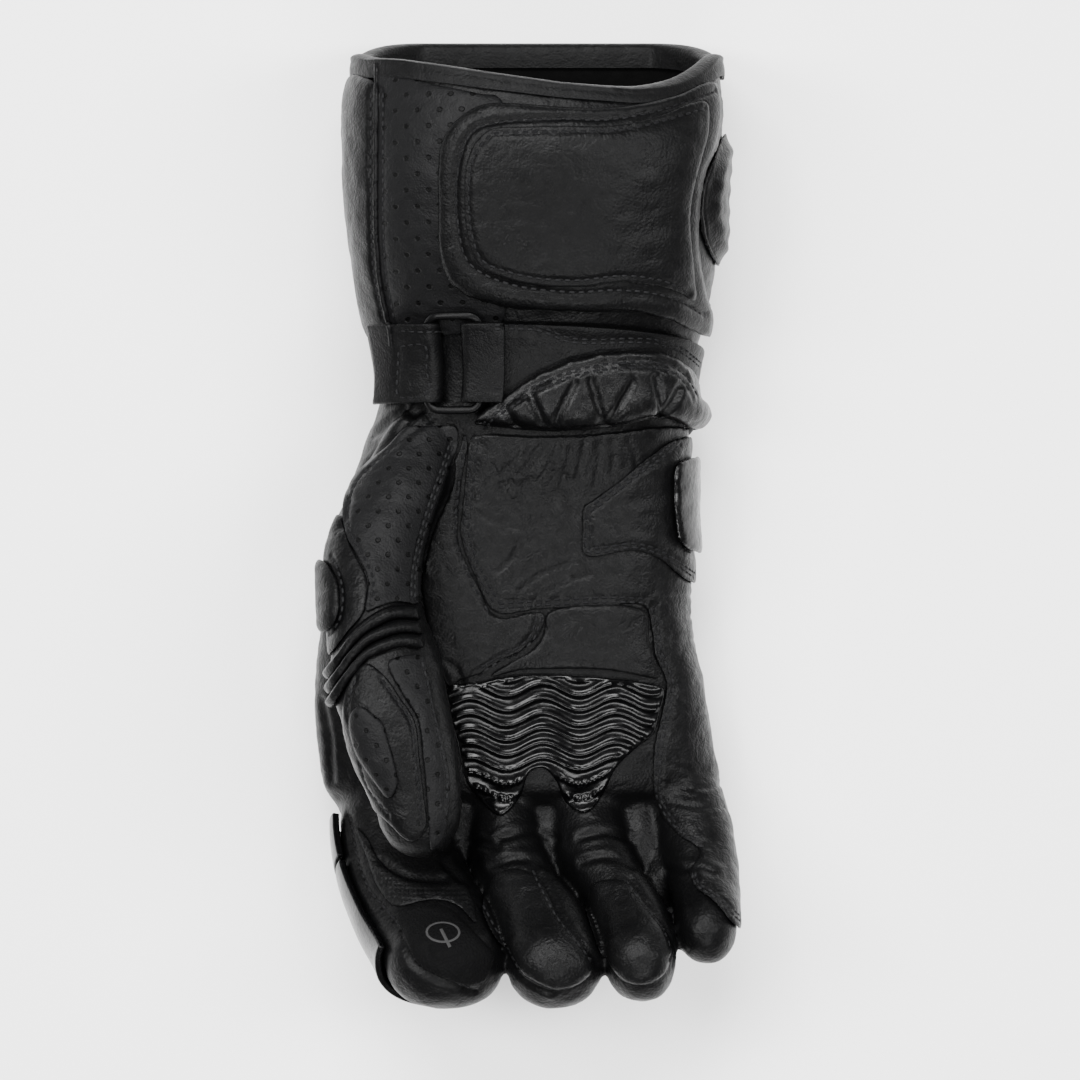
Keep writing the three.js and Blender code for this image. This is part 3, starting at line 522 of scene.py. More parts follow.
def punched(tree, place, holes):
    """0 in each of the staggered holes and 1 beside them."""
    pitch_x, pitch_y, radius, turn = holes
    turned = wired(tree, "Mapping", {"Rotation": turn, "Scale": (1 / pitch_x, 1 / pitch_y, 0),
                                     "Vector": place})
    rows = []
    for shift in ((0, 0, 0), (0.5, 0.5, 0)):
        step = turned
        for operation, amount in (("ADD", shift), ("FRACTION", None), ("SUBTRACT", (0.5, 0.5, 0)),
                                  ("MULTIPLY", (pitch_x / radius, pitch_y / radius, 0)),
                                  ("LENGTH", None)):
            inputs = {0: step.outputs["Vector"]}
            if amount:
                inputs[1] = amount
            step = wired(tree, "VectorMath", inputs, operation=operation)
        rows.append(step.outputs["Value"])
    nearest = wired(tree, "Math", {0: rows[0], 1: rows[1]}, operation="MINIMUM")
    edge = {"From Min": 0.75, "From Max": 1.25, "Value": nearest.outputs["Value"]}
    return wired(tree, "MapRange", edge, interpolation_type="SMOOTHSTEP").outputs["Result"]


def worn_surface(name, colour, roughness, grain=0.0009, grain_depth=0.35, crease=0.5,
                 holes=None, shine=0.07):
    """Hide, cloth, rubber or thread: grain, fine creases, uneven dye and worn high places."""
    made = bpy.data.materials.new(name)
    made.use_nodes = True
    tree = made.node_tree
    place = wired(tree, "TexCoord", {}).outputs["Object"]
    pores = wired(tree, "TexVoronoi", {"Scale": 1 / grain, "Vector": place}).outputs["Distance"]
    creased = wired(tree, "TexNoise", {"Scale": 210, "Detail": 5, "Roughness": 0.62,
                                       "Distortion": 0.9, "Vector": place}).outputs["Fac"]
    uneven = wired(tree, "TexNoise", {"Scale": 38, "Detail": 3, "Vector": place}).outputs["Fac"]
    bump = wired(tree, "Bump", {"Strength": crease, "Distance": 0.0007, "Height": creased})
    bump = wired(tree, "Bump", {"Strength": grain_depth, "Distance": 0.00025, "Height": pores,
                                "Normal": bump.outputs["Normal"]})
    dye = wired(tree, "Mix", {"A": (*[part * 0.75 for part in colour], 1),
                              "B": (*[part * 1.35 for part in colour], 1),
                              "Factor": uneven}, data_type="RGBA")
    high = wired(tree, "NewGeometry", {}).outputs["Pointiness"]
    worn = wired(tree, "MapRange", {"From Min": 0.52, "From Max": 0.62, "To Max": 0.6,
                                    "Value": high}).outputs["Result"]
    dyed = wired(tree, "Mix", {"A": dye.outputs["Result"], "Factor": worn,
                               "B": (*[part * 1.8 + 0.0003 for part in colour], 1)},
                 data_type="RGBA").outputs["Result"]
    gloss = wired(tree, "MapRange", {"From Min": 0.25, "From Max": 0.75, "Value": creased,
                                     "To Min": roughness - 0.08, "To Max": roughness + 0.1})
    # The holes are painted near black: painted shade down each hole, over the real dark hide
    # beneath.
    if holes:
        beside_holes = punched(tree, place, holes)
        dyed = wired(tree, "Mix", {"A": (0.0001, 0.0001, 0.0001, 1), "B": dyed,
                                   "Factor": beside_holes}, data_type="RGBA").outputs["Result"]
        bump = wired(tree, "Bump", {"Strength": 0.5, "Distance": 0.0008,
                                    "Height": beside_holes, "Normal": bump.outputs["Normal"]})
    shader = tree.nodes["Principled BSDF"]
    shader.inputs["Specular IOR Level"].default_value = shine
    tree.links.new(dyed, shader.inputs["Base Color"])
    tree.links.new(gloss.outputs["Result"], shader.inputs["Roughness"])
    tree.links.new(bump.outputs["Normal"], shader.inputs["Normal"])
    return made


satin_hide = worn_surface("satin_hide", (0.0015, 0.0015, 0.0016), 0.4)
# The lining's near-black is partly the real dark lining and partly painted shade inside the cuff
# and fingers.
lining_and_painted_shade = worn_surface("lining_and_painted_shade", (0.001, 0.001, 0.001), 0.9, shine=0.05)


def finish(piece, material, nodes, angle=60):
    """Puts a finish on a piece, hangs it from the root body and hides the solids it stands for."""
    piece.data.materials.clear()
    piece.data.materials.append(material)
    alone(piece)
    bpy.ops.object.shade_smooth_by_angle(angle=math.radians(angle))
    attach(piece, "root")
    if nodes:
        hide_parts(*nodes)


def copy_of(piece, name):
    twin = piece.copy()
    twin.data = piece.data.copy()
    twin.name = name
    bpy.context.collection.objects.link(twin)
    return twin


# Hand and cuff: the skin hollowed to the thickness of the hide, from the mouth of the cuff to
# the ends of the fingers, and parted at the wrist seam. Dark lining covers the inner faces, its
# near-black partly the lining's own colour and partly painted shade inside the glove.
glove = copy_of(skin, "glove")
cut(glove, body_form("inner", root_place + hide - root_overlap, rim_place + 0.004, 0.008, -hide,
                     64), "DIFFERENCE")
for finger in finger_rows:
    cut(glove, finger_form("inner", finger, -hide, 20, 8), "DIFFERENCE")
cut(glove, thumb_form("inner", -hide, 20, 10), "DIFFERENCE")
past_wrist_size = (0.4, 0.3, 0.3)
bpy.ops.mesh.primitive_cube_add(size=1, location=(0, wrist_place + past_wrist_size[1] / 2, 0.05))
past_wrist = bpy.context.object
past_wrist.dimensions = past_wrist_size
alone(past_wrist)
bpy.ops.object.transform_apply(location=True, rotation=True, scale=True)


def line_inside(piece):
    """Gives the faces inside a shell the lining, whose near-black is partly painted shade."""
    piece.data.materials.append(lining_and_painted_shade)
    for face in piece.data.polygons:
        if skin_tree.find_nearest(face.center)[3] > 0.6 * hide:
            face.material_index = 1


cuff = copy_of(glove, "cuff")
cut(cuff, past_wrist, "INTERSECT", True)
cut(glove, past_wrist, "DIFFERENCE")
glove.name = "hand_and_fingers"
finish(cuff, satin_hide, ["cuff_shell"])
finish(glove, satin_hide,
       ["hand_shell", "thumb_shell", "index_finger", "middle_finger", "ring_finger",
        "little_finger"])
line_inside(cuff)
line_inside(glove)

# Rim binding: a strip of soft 1.2 mm hide, folded over the edge of the cuff and sewn through
# twice. Its profile is carried once round the rim. The first layer lies a hair's breadth over
# the skin, and a layer is one thickness of hide or of padding.
first = 0.00035
overlay = 0.0012
padding = 0.0024
binding_depth = 0.006
profile = []
for along in np.linspace(-binding_depth, 0, 7):
    profile.append((first + overlay * (0.75 + 0.25 * math.sin((along / binding_depth + 1) * 3.1)),
                    along))
for turn in np.linspace(0, math.pi, 9)[1:-1]:
    reach = (hide + 2 * first + 2 * overlay) / 2
    profile.append((-hide / 2 + reach * math.cos(turn), 0.0007 + 0.0011 * math.sin(turn)))
for along in np.linspace(0, -binding_depth, 5):
    profile.append((-hide - first - overlay, along))
for along in np.linspace(-binding_depth, 0.0006, 5):
    profile.append((-hide - first, along))
for along in np.linspace(0.0006, -binding_depth, 5):
    profile.append((first, along))
rim_angles = np.linspace(0, 2 * math.pi, 260, endpoint=False)
columns = []
for offset, along in profile:
    ring = body_points(rim_place + min(along, 0), rim_angles, offset)
    ring[:, 1] += max(along, 0)
    columns.append(ring)
rings = np.array(columns).transpose(1, 0, 2)
rings = np.concatenate([rings, rings[:1]], axis=0)
rings = np.concatenate([rings, rings[:, :1]], axis=1)
binding = grid("rim_binding_strip", rings)
edit(binding, close_up)
soft_hide = worn_surface("soft_hide", (0.0018, 0.0018, 0.0019), 0.48, grain=0.0007, crease=0.6)
finish(binding, soft_hide, ["rim_binding"])


# Cuff panels. The perforated panel is soft hide with punched holes, beside a smooth padded
# bulge on the thumb side. Both are sewn flat on the cuff.
def prism(name, outline, low, high=0.2):
    """A block over an outline in x and y, to cut with."""
    after = np.roll(outline, -1, axis=0)
    if np.sum(outline[:, 0] * after[:, 1] - outline[:, 1] * after[:, 0]) < 0:
        outline = outline[::-1]
    bpy.ops.object.select_all(action="DESELECT")
    bpy.ops.mesh.primitive_circle_add(vertices=len(outline), fill_type="NGON")
    piece = bpy.context.object
    piece.name = name
    points = np.column_stack([outline, np.full(len(outline), low)])
    piece.data.vertices.foreach_set("co", points.reshape(-1))
    edit(piece, lambda: bpy.ops.mesh.extrude_region_move(
        TRANSFORM_OT_translate={"value": (0, 0, high - low)}), close_up)
    return piece


def raised_skin(name, height):
    """The skin moved out to a height, as a tool."""
    piece = copy_of(skin, name)
    write_points(piece, skin_points + skin_normals * height)
    return piece


def thin(line, limit=0.0006):
    """A line without the points that lie too close together."""
    kept = [line[0]]
    for point in line[1:]:
        if np.linalg.norm(point - kept[-1]) > limit:
            kept.append(point)
    return np.array(kept)


def laid_panel(name, outline, level, low, thickness, voxel=0.0006, edge=0.6, roll=0.0025,
               passes=4, base=None, relief=None, clear=(), shape=None):
    """Hide or padding cut to an outline, laid on the skin, with rolled edges."""
    shape = shape or prism("shape", thin(outline), level)
    piece = raised_skin(name, low + thickness)
    cut(piece, shape, "INTERSECT")
    cut(piece, raised_skin("under", low), "DIFFERENCE")
    for tool in clear:
        cut(piece, tool, "DIFFERENCE", True)
    piece.data.remesh_voxel_size = voxel
    alone(piece)
    bpy.ops.object.voxel_remesh()
    modify(piece, "SMOOTH", factor=0.5, iterations=passes)
    points = read_points(piece)
    away = distance_to(points[:, :2], outline, True) if outline is not None else None
    if away is not None:
        away = np.minimum(away, np.maximum(points[:, 2] - level, 0))
    else:
        away = np.full(len(points), 0.01)
    found = [skin_tree.find_nearest(Vector(point)) for point in points]
    feet = np.array([hit[0][:] for hit in found])
    rise = points - feet
    height = np.linalg.norm(rise, axis=1)
    direction = rise / np.maximum(height, 1e-6)[:, None]
    share = np.clip((height - low) / thickness, 0, 1.15)
    reach = np.clip(away / roll, 0, 1)
    crown = edge + (1 - edge) * np.sqrt(1 - (1 - reach) ** 2)
    bed = low if base is None else base(points)
    new_height = bed + share * thickness * crown
    if relief is not None:
        new_height = new_height + relief(points, away) * ease(share, 0.35, 0.9)
    new_height = np.maximum(new_height, np.minimum(bed, low) + 0.0001)
    write_points(piece, feet + direction * new_height[:, None])
    return piece


def softly_uneven(height, size, seed):
    """Relief of soft hills, as hide has over foam."""
    return lambda points, away: height * rough(points, size, seed)


perforated_line = flowing(seen([
    (376.5, 72), (376.5, 136), (377, 236), (380, 281), (390, 333), (391, 341), (446, 336),
    (500, 325), (500, 98), (482, 94), (433, 84), (400, 76)]))


def groove(points, lines, width, depth):
    """Depths where rows of stitches draw the hide down."""
    total = np.zeros(len(points))
    for line in lines:
        total -= depth * np.exp(-((distance_to(points[:, :2], line) / width) ** 2))
    return total


perforated = laid_panel("cuff_perforated_panel", perforated_line, 0.5 * cuff_depth, first,
                        overlay, 0.00075)
punched_hide = worn_surface("punched_hide", (0.0032, 0.0032, 0.0034), 0.48, grain=0.0007,
                            holes=(0.0057, 0.0096, 0.00072, (0, math.radians(-32), 0)))
finish(perforated, punched_hide, ["perforated_panel"])

bulge_line = flowing(seen([
    (300, 84), (373, 84), (373, 136), (373.5, 236), (377, 281), (385, 318), (388, 336),
    (340, 340), (300, 336)]))
bulge = laid_panel("thumb_side_pad", bulge_line, 0.2 * cuff_depth, first, padding + 0.0006,
                   0.0008, edge=0.3, roll=0.008,
                   relief=softly_uneven(0.0004, 0.012, 7.7))
finish(bulge, satin_hide, ["thumb_side_bulge"])

# Closure flap: padded hide over the palm side of the cuff, held down by hook and loop. Its
# lower lip stands off over the strap, and a raised pad is sewn on it inside two rows.
flap_lift = 0.006
second = 2 * first + overlay


def flap_base(points):
    """The height of the underside of the flap, which stands off near the strap."""
    along = (points[:, 1] - wrist_place) / cuff_length
    near_edge = 1 - 0.85 * ease(points[:, 0], 0.036, 0.052)
    return second + flap_lift * (1 - ease(along, 0.12, 0.55)) * near_edge


flap_line = flowing(seen([
    (486, 104), (466, 113), (449, 129), (440, 149), (438, 169), (438, 202), (441, 252),
    (450, 276), (464, 289), (480, 295), (521, 303), (579, 306), (629, 306), (662, 315),
    (687, 328), (701, 338), (708, 338), (711, 322), (705, 292), (699, 252), (701, 202),
    (707, 170), (718, 146), (722, 110), (716, 84), (680, 95), (641, 104), (603, 108),
    (560, 107), (520, 104)]))
flap_seam_pixels = [
    (716, 91), (691, 100), (666, 108), (641, 114), (603, 119), (565, 118), (499, 122),
    (476, 128), (466, 139), (459, 161), (456, 186), (457.5, 227), (466, 260), (482, 274),
    (513, 286), (546, 291), (579, 293), (613, 291), (646, 293), (679, 301), (704, 315)]
flap_seam = flowing(seen(flap_seam_pixels), closed=False)
flap_seam_width = 0.001
flap_seam_depth = 0.0006
flap = laid_panel("closure_flap_hide", flap_line, 0.45 * cuff_depth, second, padding, 0.0008,
                  edge=0.45, roll=0.004, base=flap_base,
                  relief=lambda points, away: groove(points, [flap_seam], flap_seam_width,
                                                     flap_seam_depth))
finish(flap, satin_hide, ["closure_flap"])
flap_pad_line = flowing(seen([
    (520, 128), (491, 130), (476, 143), (467.5, 161), (464, 186), (467.5, 236), (479, 264),
    (505, 276), (538, 283), (579, 285), (613, 281), (637, 281), (671, 288), (692, 300),
    (692, 270), (690, 220), (694, 190), (702, 160), (709, 130), (706, 104), (657, 118),
    (616, 126), (570, 127)]))
flap_top = second + padding + first


def flap_pad_base(points):
    return flap_base(points) - second + flap_top - 0.0001


flap_pad = laid_panel("flap_pad_hide", flap_pad_line, 0.55 * cuff_depth, flap_top, overlay,
                      0.0008, edge=0.35, roll=0.005, base=flap_pad_base,
                      relief=lambda points, away: 0.0006 * rough(points, 0.02, 1.3)
                      * ease(away, 0, 0.008))
finish(flap_pad, satin_hide, ["flap_pad"])

# Wrist bone guard: an oval pad of hide over foam with moulded ribs, sewn on the little finger
# side of the cuff, where the bone of the wrist stands out.
guard_place = 0.065
guard_height = 0.0458
guard_length = 0.0406
guard_depth = 0.0475
guard_rib_pitch = 0.0062
guard_rib_height = 0.00018
guard_edge_fall = 0.0022
angles = np.linspace(0, 2 * math.pi, 64, endpoint=False)
guard_line = np.column_stack([
    wrist_place + guard_place + guard_length / 2 * np.cos(angles),
    guard_height + guard_depth / 2 * np.sin(angles)])
guard_shape = prism("guard_shape", guard_line, 0, 0.1)
write_points(guard_shape, read_points(guard_shape)[:, [2, 0, 1]])
edit(guard_shape, close_up)
flap_clear = prism("flap_clear", thin(flap_line), 0.2 * cuff_depth)
guard = laid_panel("wrist_bone_pad", None, 0, first, padding + overlay - 0.0003, 0.0007,
                   shape=guard_shape, clear=[flap_clear])
guard_points = read_points(guard)
guard_away = distance_to(guard_points[:, 1:], guard_line, True)
guard_feet = [skin_tree.find_nearest(Vector(point)) for point in guard_points]
guard_rise = guard_points - np.array([hit[0][:] for hit in guard_feet])
ribs = guard_rib_height * np.sin((guard_points[:, 1] - 0.1) / guard_rib_pitch * 2 * math.pi)
ribs = ribs * ease(guard_away, 0.002, 0.005)
ribs -= guard_edge_fall * (1 - ease(guard_away, 0, 0.006))
guard_height_now = np.linalg.norm(guard_rise, axis=1)
guard_share = ease(guard_height_now, 0.001, 0.0035)
guard_rise = guard_rise / np.maximum(guard_height_now, 1e-6)[:, None]
write_points(guard, guard_points + guard_rise * (ribs * guard_share)[:, None])
bpy.data.objects.remove(flap_clear)
finish(guard, satin_hide, ["wrist_guard"])

# Strap ring of coated wire, lying across the wrist, and the two straps folded round its bars:
# the anchor sewn to the thumb side, and the long strap that crosses the wrist.
strap_width = 0.024
strap_leather = 0.0016
strap_droop = 0.0093
strap_end = math.radians(-14)
strap_seam = 0.0098
ring_wire = 0.0023
ring_length = 0.031
ring_span = 0.017
ring_middle = wrist_place + 0.014
ring_left = -0.0326
ring_right = ring_left + ring_span
strap_bed = 4 * first
wire_low = strap_bed + strap_leather + first
fold_top = wire_low + ring_wire + first
wrist_radius = 0.4 * cuff_width


def surface_angle(x, place):
    """The angle round the wrist at which the palm side lies over an x."""
    _, low, high, _ = read_rows(body_rows, place)
    share = min(max((x - (high + low) / 2) / ((high - low) / 2), -1), 1)
    return math.acos(math.copysign(abs(share) ** (body_roundness / 2), share))


def surface_point(x, place, height):
    return body_points(place, [surface_angle(x, place)], height)[0]


ring_corner = 2 * ring_wire
bar_turns = np.linspace(0, 2 * math.pi, 12, endpoint=False)
bar_radius = ring_wire / 2
ring_path = []
for corner, (side_x, side_y) in enumerate([(1, 1), (-1, 1), (-1, -1), (1, -1)]):
    middle_x = side_x * (ring_span / 2 - ring_corner)
    middle_y = side_y * (ring_length / 2 - ring_corner)
    for turn in np.linspace(0, math.pi / 2, 7) + corner * math.pi / 2:
        ring_path.append((middle_x + (ring_corner - bar_radius) * math.cos(turn),
                          middle_y + (ring_corner - bar_radius) * math.sin(turn),
                          math.cos(turn), math.sin(turn)))
ring_rings = []
for x, y, out_x, out_y in ring_path:
    middle = surface_point(ring_left + ring_span / 2 + x, ring_middle + y,
                           wire_low + bar_radius)
    above = surface_point(ring_left + ring_span / 2 + x, ring_middle + y,
                          wire_low + 2 * bar_radius)
    up = (above - middle) / np.linalg.norm(above - middle)
    out = np.array([out_x, out_y, 0.0])
    out = out - up * (out @ up)
    out = out / np.linalg.norm(out)
    ring_rings.append([middle + 1.08 * bar_radius * (
        out * round_power(np.array(math.cos(turn)), 3)
        + up * round_power(np.array(math.sin(turn)), 3)) for turn in bar_turns])
ring_rings = np.array(ring_rings)
ring_rings = np.concatenate([ring_rings, ring_rings[:1]], axis=0)
ring_rings = np.concatenate([ring_rings, ring_rings[:, :1]], axis=1)
strap_ring = grid("strap_ring_bar", ring_rings)
edit(strap_ring, close_up)
modify(strap_ring, "SUBSURF", levels=1, render_levels=1)
coated = worn_surface("coated_metal", (0.0012, 0.0012, 0.0013), 0.36, grain=0.0004,
                      grain_depth=0.1, crease=0.05)
finish(strap_ring, coated, ["strap_ring"])

fold_radius = (fold_top - strap_bed) / 2
fold_height = (fold_top + strap_bed + strap_leather) / 2


def folded_stations(angles, fold_x, side):
    """A strap end folded round a bar of the ring and doubled back under itself."""
    fold_angle = surface_angle(fold_x, ring_middle)
    top = fold_top + strap_leather / 2
    low = strap_bed + strap_leather / 2
    turn = []
    for degrees in (80, 60, 40, 20, 0, -20, -40, -60, -80):
        swing = math.radians(degrees)
        turn.append((fold_angle - side * fold_radius * math.cos(swing) / wrist_radius,
                     fold_height + fold_radius * math.sin(swing)))
    return ([(angle, top) for angle in angles] + [(fold_angle, top)] + turn
            + [(fold_angle, low)] + [(angle, low) for angle in reversed(angles)])


def strap(name, stations, middle_at, material, nodes):
    """A flat leather strap through stations of an angle round the wrist and a height."""
    dense = [stations[0]]
    for before, after in zip(stations[:-1], stations[1:]):
        steps = max(int(abs(after[0] - before[0]) * wrist_radius / 0.0015), 1)
        for step in range(1, steps + 1):
            way = step / steps
            dense.append((before[0] + (after[0] - before[0]) * way,
                          before[1] + (after[1] - before[1]) * way))
    rows = []
    for angle, height in dense:
        row = []
        for across in np.linspace(-0.5, 0.5, 19):
            edge = min(1, (0.5 - abs(across)) * strap_width / 0.0012)
            seam = math.exp(-(((abs(across) * strap_width - strap_seam) / 0.0006) ** 2))
            lower = 0.0002 * (1 - edge) + 0.00018 * seam
            point = body_points(middle_at(angle) + across * strap_width, [angle],
                                height - lower)[0]
            row.append(point)
        rows.append(row)
    piece = grid(name, np.array(rows))
    modify(piece, "SOLIDIFY", thickness=strap_leather * 0.96, offset=0)
    edit(piece, close_up)
    modify(piece, "BEVEL", width=0.0004, segments=2, limit_method="ANGLE")
    finish(piece, material, nodes)
    return piece


strap_hide = worn_surface("strap_hide", (0.0016, 0.0016, 0.0017), 0.42, grain=0.0007, crease=0.5)
tongue_level = strap_bed + strap_leather / 2
anchor_double = surface_angle(ring_left - 0.012, ring_middle)
anchor_far = surface_angle(ring_left - 0.0164, ring_middle)
anchor_near = surface_angle(ring_left, ring_middle)
anchor_stations = folded_stations([anchor_double, anchor_near],
                                  ring_left + ring_wire + first, 1)
anchor_stations += [((anchor_double + anchor_far) / 2, tongue_level), (anchor_far, tongue_level)]
anchor = strap("anchor_strap", anchor_stations, lambda angle: ring_middle, strap_hide,
               ["strap_anchor"])
strap_near = surface_angle(ring_right, ring_middle)
doubled_end = surface_angle(ring_right + 0.0061, ring_middle)


def strap_middle(angle):
    share = min(max((strap_near - angle) / (strap_near - strap_end), 0), 1)
    return ring_middle - strap_droop * share**1.5


tongue = folded_stations([doubled_end, strap_near], ring_right - ring_wire - 2 * first, -1)
tongue += [(angle, tongue_level) for angle in np.linspace(doubled_end, strap_end, 30)[1:]]
long_strap = strap("wrist_strap_leather", tongue, strap_middle, strap_hide, ["wrist_strap"])

# Heel roll: thin shiny hide quilted over foam in a zigzag. It is sewn across the root of the
# palm, and the wrist strap runs on beneath it.
heel_roll_height = 0.005
heel_base = strap_bed + strap_leather + first
heel_line = flowing(seen([
    (474, 424), (486, 412), (499, 402), (530, 381), (579, 363), (629, 356), (671, 359),
    (692, 373), (706, 397), (722, 410), (722, 424), (700, 430), (662, 419), (613, 428),
    (546, 432), (500, 428)]))
quilt_lines = [flowing(seen(line), 0.001, False) for line in [
    [(531, 397), (544, 426)], [(574, 384), (553, 428)], [(591, 381), (604, 426)],
    [(633, 384), (609, 426)], [(656, 379), (664, 418)], [(679, 391), (664, 418)],
    [(505, 412), (516, 428)]]]
heel_top = [(474, 431), (486, 419), (499, 409), (530, 388), (579, 370), (629, 363), (671, 366),
            (688, 377)]
heel_seam = flowing(seen(heel_top), 0.001, False)
quilt_width = 0.0013
quilt_depth = 0.0013
heel_seam_width = 0.0014
heel_seam_depth = 0.0009


def heel_relief(points, away):
    total = groove(points, quilt_lines, quilt_width, quilt_depth)
    total += groove(points, [heel_seam], heel_seam_width, heel_seam_depth)
    total += 0.00025 * rough(points, 0.005, 2.2, (1, 0.5, 1))
    total += 0.00012 * rough(points, 0.0024, 5.2, (1.4, 0.5, 1))
    return total


heel = laid_panel("quilted_heel_roll", heel_line, 0.28 * hand_depth, heel_base,
                  heel_roll_height, 0.0007, edge=0.3, roll=0.0065, relief=heel_relief)
shiny_hide = worn_surface("shiny_hide", (0.0014, 0.0014, 0.0015), 0.33, grain=0.0006,
                          grain_depth=0.2, crease=0.6, shine=0.11)
finish(heel, shiny_hide, ["heel_roll"])

# Palm panels: soft palm hide sewn down with double rows. The overlay turns the little finger
# side and runs on to that finger, and a creased panel and a strip lie below it.
# The palm hide's lighter colour is painted sheen on the palm panels and finger pads; its lower
# roughness gives real sheen as well.
palm_hide_and_painted_sheen = worn_surface("palm_hide_and_painted_sheen", (0.0022, 0.0022, 0.0023), 0.36, grain=0.0008, crease=0.75)
thumb_clear = thumb_form("thumb_clear", second)
side_level = 0.28 * hand_depth
thenar_line = flowing(seen([
    (406, 427), (426, 426), (456, 428), (458, 445), (451, 466), (440, 497), (431, 526),
    (425, 550), (420, 578), (420, 602), (397, 601), (376, 607), (366, 611), (368, 579),
    (356, 553), (347, 538), (342, 516), (351, 482), (367, 463), (388, 445)]))
thenar_clear = prism("thenar_clear", thin(thenar_line), 0)
overlay_line = flowing(seen([
    (474, 436), (470, 440), (465, 480), (462, 510), (460, 533), (466, 556), (475, 577),
    (495, 612), (543, 609), (609, 606), (646, 607), (652, 627), (656, 655), (667, 683),
    (662, 716), (656, 741), (653, 775), (655, 800), (661, 815), (675, 832), (700, 850),
    (689, 871), (694, 885), (712, 898), (742, 925), (775, 925), (775, 430), (700, 428),
    (662, 428), (613, 434), (546, 438)]))
palm_wrinkles = crease_lines([
    [(560, 440), (554, 456), (540, 480)], [(572, 440), (568, 462), (560, 490)],
    [(585, 440), (582, 458), (577, 478)], [(598, 440), (599, 462), (594, 486)],
    [(612, 440), (614, 456), (612, 476)], [(628, 440), (634, 452), (637, 468)],
    [(542, 442), (534, 456), (520, 474)], [(528, 442), (518, 458), (500, 474)],
    [(491, 463), (508, 496), (524, 524), (543, 553)], [(500, 460), (516, 490), (534, 516)],
    [(474, 512), (500, 524), (526, 530)], [(520, 590), (545, 572), (575, 562)],
    [(534, 600), (562, 584), (590, 574)], [(498, 572), (514, 556), (520, 540)],
    [(660, 600), (690, 596), (702, 600)], [(664, 618), (688, 616), (702, 620)],
    [(668, 640), (690, 638), (702, 645)], [(672, 700), (690, 712), (706, 712)],
    [(664, 762), (690, 770), (716, 770)], [(662, 782), (690, 788), (719, 786)],
    [(662, 800), (690, 806), (722, 806)]])
wrinkle_width = 0.0008
wrinkle_depth = 0.00028


def palm_relief(lines, size=0.009, seed=0.0):
    """Relief of a palm panel: its wrinkles, and hide that is softly uneven."""
    def rise(points, away):
        total = folds(points, lines, wrinkle_width, wrinkle_depth)
        total += 0.00035 * rough(points, size, seed)
        total += 0.00012 * rough(points, size / 3, seed + 1)
        return total * ease(away, 0, 0.003)
    return rise


palm_overlay = laid_panel("palm_overlay_hide", overlay_line, side_level, first, overlay,
                          0.00085, clear=[thumb_clear, thenar_clear],
                          relief=palm_relief(palm_wrinkles))
finish(palm_overlay, palm_hide_and_painted_sheen, ["palm_overlay"])
lower_line = flowing(seen([
    (497, 617), (544, 613), (540, 634), (527, 648), (503, 661), (480, 674), (460, 681),
    (450, 687), (436, 662), (427, 620), (422, 578), (427, 550), (434, 526), (442, 497),
    (453, 466), (461, 445), (463, 434), (467, 440), (462, 480), (458, 520), (458, 540),
    (466, 562), (478, 586)]))
lower = laid_panel("lower_palm_hide", lower_line, side_level, first, overlay, 0.0007,
                   clear=[thumb_clear, thenar_clear], relief=palm_relief([], seed=4.0))
finish(lower, palm_hide_and_painted_sheen, ["lower_palm_panel"])
root_line = flowing(seen([
    (549, 613), (645, 611), (649, 640), (660, 678), (647, 677), (622, 672), (589, 669),
    (556, 669), (523, 670), (490, 677), (512, 662), (534, 649), (544, 634)]))
root_panel = laid_panel("finger_root_hide", root_line, side_level, first, overlay, 0.0007,
                        relief=palm_relief([], seed=9.0))
finish(root_panel, palm_hide_and_painted_sheen, ["finger_root_panel"])

# Grip panel: glossy rubber printed on hide over the finger roots. It stands up in wavy ribs,
# which break up into beads towards the fingers.
grip_line = flowing(seen([
    (447, 688), (480, 683), (506, 677), (546, 675), (606, 678), (647, 683), (664, 689),
    (659, 716), (654, 733), (634, 750), (616, 768), (600, 799), (583, 812), (566, 803),
    (556, 781), (543, 768), (530, 772), (519, 799), (500, 814), (486, 806), (468, 785),
    (458, 745)]))
wave_length = 0.0225
wave_height = 0.0019
wave_pitch = 0.0046
ridge_height = 0.0009
bead_pitch = 0.0026
first_beads = 0.066
full_beads = 0.078


def grip_relief(points, away):
    wave = wave_height * np.cos((points[:, 0] - 0.001) / wave_length * 2 * math.pi)
    ridge = 0.5 + 0.5 * np.cos((points[:, 1] - wave) / wave_pitch * 2 * math.pi)
    beads = 0.5 + 0.5 * np.cos(points[:, 0] / bead_pitch * 2 * math.pi)
    beaded = 0.75 * ease(-points[:, 1], first_beads, full_beads)
    raised = ridge_height * (ridge**2.6 * (1 - beaded * beads) - 0.2)
    return raised * ease(away, 0.0006, 0.0016)


grip = laid_panel("grip_waves", grip_line, side_level, first, overlay, 0.00055, passes=3,
                  clear=[thumb_clear], relief=grip_relief)
wet_rubber = worn_surface("wet_rubber", (0.0006, 0.0006, 0.0007), 0.2, grain=0.0012,
                          grain_depth=0.04, crease=0.06, shine=0.13)
finish(grip, wet_rubber, ["grip_panel"])

